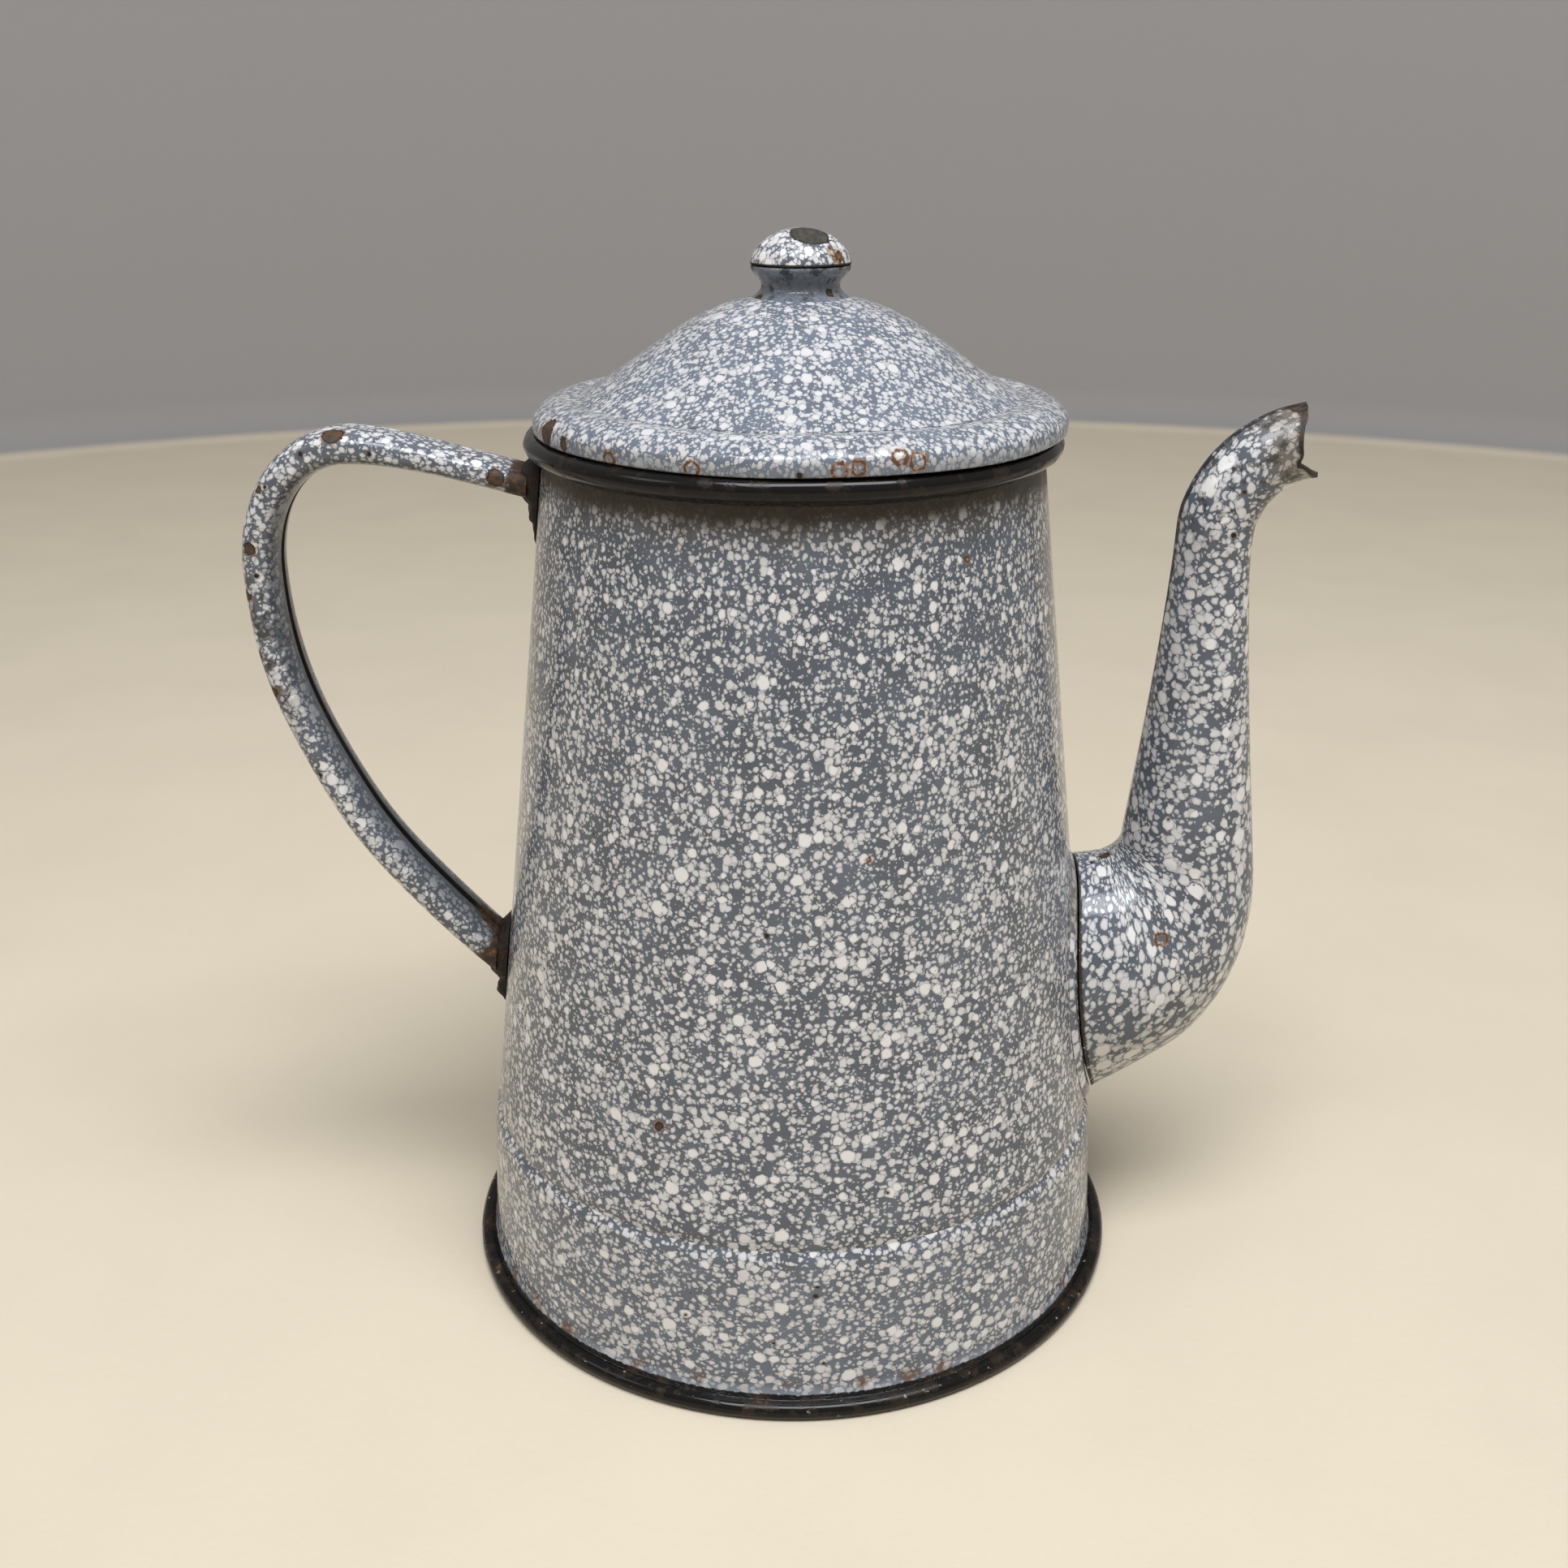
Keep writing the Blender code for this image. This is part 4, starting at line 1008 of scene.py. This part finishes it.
def body_finish():
    finish, _ = enamel("speckled_body", size=0.92, crowd=1.0, bare=0.14)
    z = finish.z
    patchy = finish.noise(6, 3.0)
    pooled = (z + (patchy - 0.5) * 5).rise(6.2, 4.4)
    finish.lay(pooled * 0.55, (0.22, 0.25, 0.29), 0.12)
    film = (z + (patchy - 0.5) * 8).rise(168, 179)
    finish.lay(film * 0.5, (0.085, 0.070, 0.050), 0.35)
    finish.lay((z + (patchy - 0.5) * 7).rise(173.8, 178.6) * 0.95, (0.040, 0.030, 0.020), 0.4)
    ragged, dirt = wear(finish, BODY_CHIPS, BODY_RINGS, BODY_PITS)
    foot_rust = (z + ragged * 3).rise(9.0, 4.4) * patchy.rise(0.55, 0.66)
    finish.lay(foot_rust * 0.75, (0.15, 0.070, 0.025), 0.5)
    black = (z + ragged * 0.5).rise(4.3, 4.0).most((z + ragged * 0.3).rise(179.4, 179.8))
    black_edge(finish, black, dirt)
    return finish.done()


speckled_body, black_bead = body_finish(), bead_finish()


# %% Spout finish
SPOUT_LONG = max(corner.uv.x for corner in spout_near.data.uv_layers["skin"].data)
SPOUT_CHIPS = ((103.4, -1.2, 188.6, 2.0), (105.0, -0.5, 187.6, 1.6), (72.0, 0.0, 91.3, 1.0))
SPOUT_RINGS = ((81.5, -17.8, 79.8, 1.3),)
SPOUT_PITS = (
    (91.2, -7.5, 164.4, 0.6), (92.4, -7.7, 173.1, 0.4), (86.0, -18.6, 71.0, 0.4),
    (68.8, -2.0, 90.5, 0.5), (82.5, -11.0, 104.4, 0.3), (88.0, 9.0, 150.0, 0.5),
    (80.0, 18.0, 84.0, 0.6),
)


def spout_finish():
    finish, spot = enamel("speckled_spout", size=1.15, crowd=1.08)
    along = finish.axes(spot)[0]
    y, z = finish.y, finish.z
    stain = finish.noise(4.0, 6.0, rough=0.7)
    browned = (along + stain * 14).rise(SPOUT_LONG - 4, SPOUT_LONG + 4)
    finish.lay(browned * 0.5, (0.20, 0.15, 0.09), 0.25)
    finish.lay(stain.rise(0.53, 0.60) * z.rise(158, 170) * 0.8, (0.030, 0.026, 0.023), 0.35)
    ragged, dirt = wear(finish, SPOUT_CHIPS, SPOUT_RINGS, SPOUT_PITS)
    from_bend = finish.length("DISTANCE", finish.here, (BEND_X + POT_AXIS, 0, BEND_Z))
    seam = abs(y + z.rise(150, 170) * 0.5) - ragged * 0.9 - z.rise(140, 165) * 0.45
    seam = seam.rise(0.7, 0.3) * from_bend.rise(19, 23) * z.rise(112, 140)
    finish.lay(seam * dirt.rise(0.30, 0.46) * 0.92, GROUND, 0.4, -0.05)
    root = (along - ragged * 0.5).rise(0.9, 0.4) * dirt.rise(0.30, 0.45)
    mouth = (along + ragged * 0.9).rise(SPOUT_LONG - 1.5, SPOUT_LONG - 0.7) * z.rise(150, 152)
    burnt = finish.mixed(dirt.rise(0.42, 0.6), GROUND, (0.045, 0.026, 0.015))
    finish.lay(root.most(mouth), burnt, 0.6, -0.08)
    return finish.done()


speckled_spout = spout_finish()


# %% Handle finish
HANDLE_CHIPS = (
    (-87.0, -5.2, 184.0, 2.1), (-55.2, -7.1, 175.9, 1.6), (-102.9, -6.6, 173.4, 0.8),
    (-105.4, -6.9, 161.5, 1.2), (-106.9, -6.0, 151.7, 0.9), (-106.5, -6.5, 139.0, 0.8),
    (-104.0, -6.6, 131.0, 0.9), (-103.0, 6.5, 150.0, 1.0),
)
HANDLE_PITS = (
    (-93.2, -7.1, 180.5, 0.5), (-79.7, -7.2, 180.5, 0.4), (-100.9, -7.0, 174.0, 0.4),
    (-96.1, -7.0, 112.9, 0.4), (-70.0, -7.1, 177.0, 0.4), (-104.6, -7.0, 156.0, 0.5),
)


def handle_finish():
    finish, spot = enamel("speckled_handle", size=0.88, crowd=1.05)
    along, across, _ = finish.axes(spot)
    x, z = finish.x, finish.z
    from_slot = across.least(STRAP_GIRTH - across)
    uneven_edge = finish.noise(3.0, 3.0) * 3
    # Beside the slot, on the strap's underside, two bands carry fewer drops, which is the rolled
    # edge's own look, and a grey darker than the ground, which is painted shade under the strap.
    for wide, narrow, share in ((6.0, 2.5, 0.7), (1.0, -0.5, 0.9)):
        few_drops_and_shade = (from_slot - uneven_edge).rise(wide, narrow)
        finish.lay(few_drops_and_shade * share, (0.070, 0.079, 0.095), 0.16)
    finish.lay(from_slot.rise(0.5, 0.1), GROUND, 0.4)
    gripped = (z + uneven_edge * 6).rise(175, 150) * x.rise(-97, -104)
    grime = finish.noise(2.2, 3.0).rise(0.46, 0.58)
    finish.lay(gripped * grime * 0.85, (0.030, 0.028, 0.027), 0.35)
    ragged, dirt = wear(finish, HANDLE_CHIPS, (), HANDLE_PITS)
    low_end = (along + ragged * 2 + from_slot.rise(3, 1) * 6).rise(STRAP_LONG - 5, STRAP_LONG - 3)
    ends = (along - ragged * 2.5).rise(5.2, 3.6).most(low_end)
    bared = finish.mixed(dirt.rise(0.40, 0.62), (0.028, 0.020, 0.015), (0.085, 0.040, 0.018))
    finish.lay(ends, bared, 0.65, -0.06)
    finish.lay(ends * dirt.rise(0.60, 0.70) * 0.6, (0.22, 0.10, 0.035), 0.7)
    return finish.done()


speckled_handle = handle_finish()


# %% Lid finish
LID_CHIPS = ((-42.7, -22.8, 187.8, 2.6), (-38.7, -29.9, 186.6, 1.1), (-45.6, 15.0, 188.6, 1.4))
LID_RINGS = (
    (-29.4, -40.0, 185.9, 1.2), (-14.3, -49.0, 185.9, 1.3), (11.1, -52.0, 186.2, 1.3),
    (14.3, -51.6, 186.6, 1.2), (21.4, -49.4, 188.1, 1.3), (24.6, -48.6, 187.2, 1.4),
    (30.0, 44.0, 187.4, 1.3),
)
LID_PITS = ((-46.6, -14.0, 188.3, 0.5), (4.2, -52.6, 185.5, 0.5), (46.1, -32.3, 187.5, 0.3))


def lid_finish():
    # The lid's large pale amount paints its ground lighter: painted light from the sky above it.
    finish, _ = enamel("speckled_lid", size=0.78, crowd=1.06, skylit_pale=0.55, milk=0.55)
    y, z = finish.y, finish.z
    drained = (z + finish.noise(3.0) * 2.4).rise(189.2, 187.0)
    finish.lay(drained * 0.55, (0.17, 0.19, 0.225), 0.12)
    ragged, dirt = wear(finish, LID_CHIPS, LID_RINGS, LID_PITS)
    from_groove = abs(finish.from_axis(LID_AXIS) - GROOVE_R - 0.5) - ragged * 0.35
    worn = from_groove.rise(0.5, 0.15) * dirt.rise(0.50, 0.56) * y.rise(-20, -38)
    finish.lay(worn * 0.85, GROUND, 0.5, -0.05)
    return finish.done()


speckled_lid = lid_finish()


# %% Knob finish
KNOB_CHIPS = ((-3.6, -4.2, 209.9, 1.1), (10.3, -6.0, 210.9, 0.7), (12.0, -5.8, 217.6, 0.9))
KNOB_RINGS = ((10.6, -6.6, 218.3, 0.8), (12.3, -6.0, 216.7, 1.1))
KNOB_PITS = ((-3.1, -1.8, 219.3, 0.35),)


def knob_finish():
    finish, _ = enamel("speckled_knob", size=0.7, crowd=1.35, skylit_pale=0.1)
    z = finish.z
    bare_neck = (z + finish.noise(1.5) * 0.8).rise(KNOB_SEAM + 0.3, KNOB_SEAM)
    finish.lay(bare_neck * 0.92, (0.13, 0.15, 0.18), 0.15)
    smudge = finish.noise(3.2, 4.0, rough=0.7).rise(0.5, 0.62) * bare_neck
    finish.lay(smudge * 0.8, GROUND, 0.4)
    ragged, dirt = wear(finish, KNOB_CHIPS, KNOB_RINGS, KNOB_PITS)
    bald = nearest(finish, ((*WORN_TOP, 3.9),)) + ragged * 0.8
    finish.lay(bald.rise(-0.25, 0.0), GROUND, 0.4, -0.1)
    rubbed = finish.mixed(dirt.rise(0.4, 0.7), (0.030, 0.027, 0.020), (0.065, 0.056, 0.040))
    finish.lay(bald.rise(0.1, 0.5), rubbed, 0.5)
    seam = (abs(z - KNOB_SEAM) - ragged * 0.15).rise(0.4, 0.2)
    finish.lay(seam, GROUND, 0.5, -0.1)
    return finish.done()


speckled_knob = knob_finish()


# %% [markdown]
# ## Inside, lugs and works
# The inside was dipped once in plain pale enamel, which coffee has stained, most of all in the
# spout's mouth. The lugs are bare, scaling steel. The works are spun and drawn aluminium with a
# dull oxide and fine rings from the lathe.

# %% Plain and metal finishes
def inside_finish():
    finish = Finish("pale_inside", (0.55, 0.56, 0.55), 0.18)
    x, z = finish.x, finish.z
    cloud = finish.noise(14, 4.0)
    finish.lay(cloud.rise(0.45, 0.75) * 0.5, (0.40, 0.34, 0.25), 0.3)
    finish.lay((z + cloud * 20).rise(60, 30) * 0.45, (0.22, 0.14, 0.08), 0.35)
    finish.lay(finish.noise(1.3, 2.0).rise(0.68, 0.74) * 0.7, (0.10, 0.07, 0.05), 0.4, -0.02)
    finish.lay(x.rise(90, 101) * 0.94, (0.040, 0.027, 0.018), 0.5)
    finish.height = finish.height + cloud * 0.1
    return finish.done()


def lug_finish():
    finish = Finish("rusty_steel", (0.013, 0.010, 0.008), 0.6, specular=0.25)
    flake = finish.noise(1.8, 5.0, rough=0.7)
    finish.lay(flake.rise(0.44, 0.64), (0.036, 0.019, 0.010), 0.75, 0.12)
    finish.lay(flake.rise(0.6, 0.7) * 0.6, (0.11, 0.052, 0.020), 0.8, 0.05)
    finish.lay(finish.noise(3.0, 3.0).rise(0.6, 0.66) * 0.8, (0.012, 0.011, 0.011), 0.35)
    return finish.done()


def metal_finish(name, colour, dull, stain):
    finish = Finish(name, colour, 0.3, 1.0)
    around = {"X": finish.from_axis(POT_AXIS), "Y": finish.z}
    turned = finish.add("ShaderNodeCombineXYZ", None, around)
    lines = finish.noise(1.4, place=finish.vector("MULTIPLY", turned, (6.0, 6.0, 1.0)))
    cloud = finish.noise(10, 4.0, rough=0.6)
    finish.lay(cloud.rise(0.4, 0.7) * 0.6, dull, 0.5)
    finish.lay(finish.noise(3.2, 3.0).rise(0.62, 0.7) * stain, (0.16, 0.10, 0.05), 0.6)
    finish.roughness = finish.roughness + (lines - 0.5) * 0.18
    finish.height = lines * 0.012 + cloud * 0.05
    finish.metallic = 1 - cloud.rise(0.55, 0.75) * 0.35
    return finish.done()


pale_inside, rusted = inside_finish(), lug_finish()
aluminium = metal_finish("drawn_aluminium", (0.80, 0.80, 0.79), (0.48, 0.48, 0.47), 0.4)
basket_skin = metal_finish("spun_aluminium", (0.77, 0.775, 0.78), (0.42, 0.42, 0.42), 0.7)
wire_steel = metal_finish("wire_steel", (0.45, 0.42, 0.40), (0.20, 0.13, 0.09), 0.8)


# %% Put each finish on its pieces
def wears(piece, *materials):
    """Give a piece its materials, in the order of its face numbers."""
    slots = piece.data.materials
    for number, material in enumerate(materials):
        if number < len(slots):
            slots[number] = material
        else:
            slots.append(material)


for piece in (body_cone, foot_skirt):
    wears(piece, speckled_body, pale_inside, black_bead)
for piece in (spout_near, spout_far, spout_saddle):
    wears(piece, speckled_spout, pale_inside)
wears(lid_cover, speckled_lid, pale_inside)
wears(handle_grip, speckled_handle, speckled_handle)
for material, pieces in (
    (pale_inside, (pot_floor, lid_sleeve)),
    (speckled_knob, (knob_stem, knob_button)),
    (aluminium, (pump_tube, pump_bell, basket_ledge)),
    (basket_skin, (basket_cup, basket_sleeve, spreader)),
    (rusted, (lug_upper, lug_lower)),
):
    for piece in pieces:
        wears(piece, material)
for name in ("rim_wire", "foot_wire", "knob_rivet"):
    wears(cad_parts[name], wire_steel)

# %% [markdown]
# ## Studio
# A round sweep stands about the pot: a pale cream floor and a plain grey wall, which the glossy
# enamel reflects from every side. A wide soft lamp hangs above and in front, as a big window
# would, and the open sky of the studio fills the shadows.

# %% Floor and wall
def sweep_finish():
    finish = Finish("studio_sweep", (0.66, 0.575, 0.44), 0.75)
    z = finish.z
    cloud = finish.noise(60, 4.0)
    finish.lay(cloud.rise(0.3, 0.8) * 0.5, (0.60, 0.525, 0.40))
    finish.lay(z.rise(2.0, 6.0), (0.33, 0.315, 0.305), 0.8)
    finish.height = finish.noise(2.2, 3.0) * 0.10
    return finish.done()


def studio_sweep(radius=1100.0, high=900.0, steps=128):
    edge = [(0.01, 0.0), (radius - 30, 0.0), (radius - 8, 6.0), (radius, 30.0), (radius, high)]
    turns = np.arange(steps) * 2 * math.pi / steps
    points = np.array([[(r * math.cos(a), r * math.sin(a), z) for r, z in edge] for a in turns])
    faces, _ = grid_faces(steps, len(edge), True, False)
    mesh = bpy.data.meshes.new("studio_sweep")
    mesh.from_pydata((points.reshape(-1, 3) * MM).tolist(), [], faces[:, ::-1].tolist())
    mesh.polygons.foreach_set("use_smooth", np.ones(len(mesh.polygons), bool))
    mesh.materials.append(sweep_finish())
    made = bpy.data.objects.new("studio_sweep", mesh)
    bpy.context.scene.collection.objects.link(made)


studio_sweep()


# %% Light
def soft_lamp(name, place, aim, size, power, colour=(1, 1, 1)):
    lamp = bpy.data.lights.new(name, "AREA")
    lamp.shape, lamp.size, lamp.size_y, lamp.energy, lamp.color = "RECTANGLE", *size, power, colour
    stand = bpy.data.objects.new(name, lamp)
    stand.location = place
    stand.rotation_euler = (Vector(aim) - Vector(place)).to_track_quat("-Z", "Y").to_euler()
    bpy.context.scene.collection.objects.link(stand)


soft_lamp("window", (0.10, -0.45, 1.25), (0, 0, 0.12), (1.1, 0.5), 20.5, (0.93, 0.96, 1.0))
soft_lamp("fill", (-1.0, -0.4, 0.8), (0, 0, 0.12), (0.5, 0.5), 2.0, (1.0, 0.98, 0.95))
world = bpy.data.worlds.new("studio_air")
world.use_nodes = True
sky = world.node_tree.nodes["Background"].inputs
sky["Color"].default_value, sky["Strength"].default_value = (0.92, 0.95, 1.0, 1), 0.37
bpy.context.scene.world = world
bpy.context.scene.view_settings.view_transform = "Standard"
print("two lamps and the studio's air")
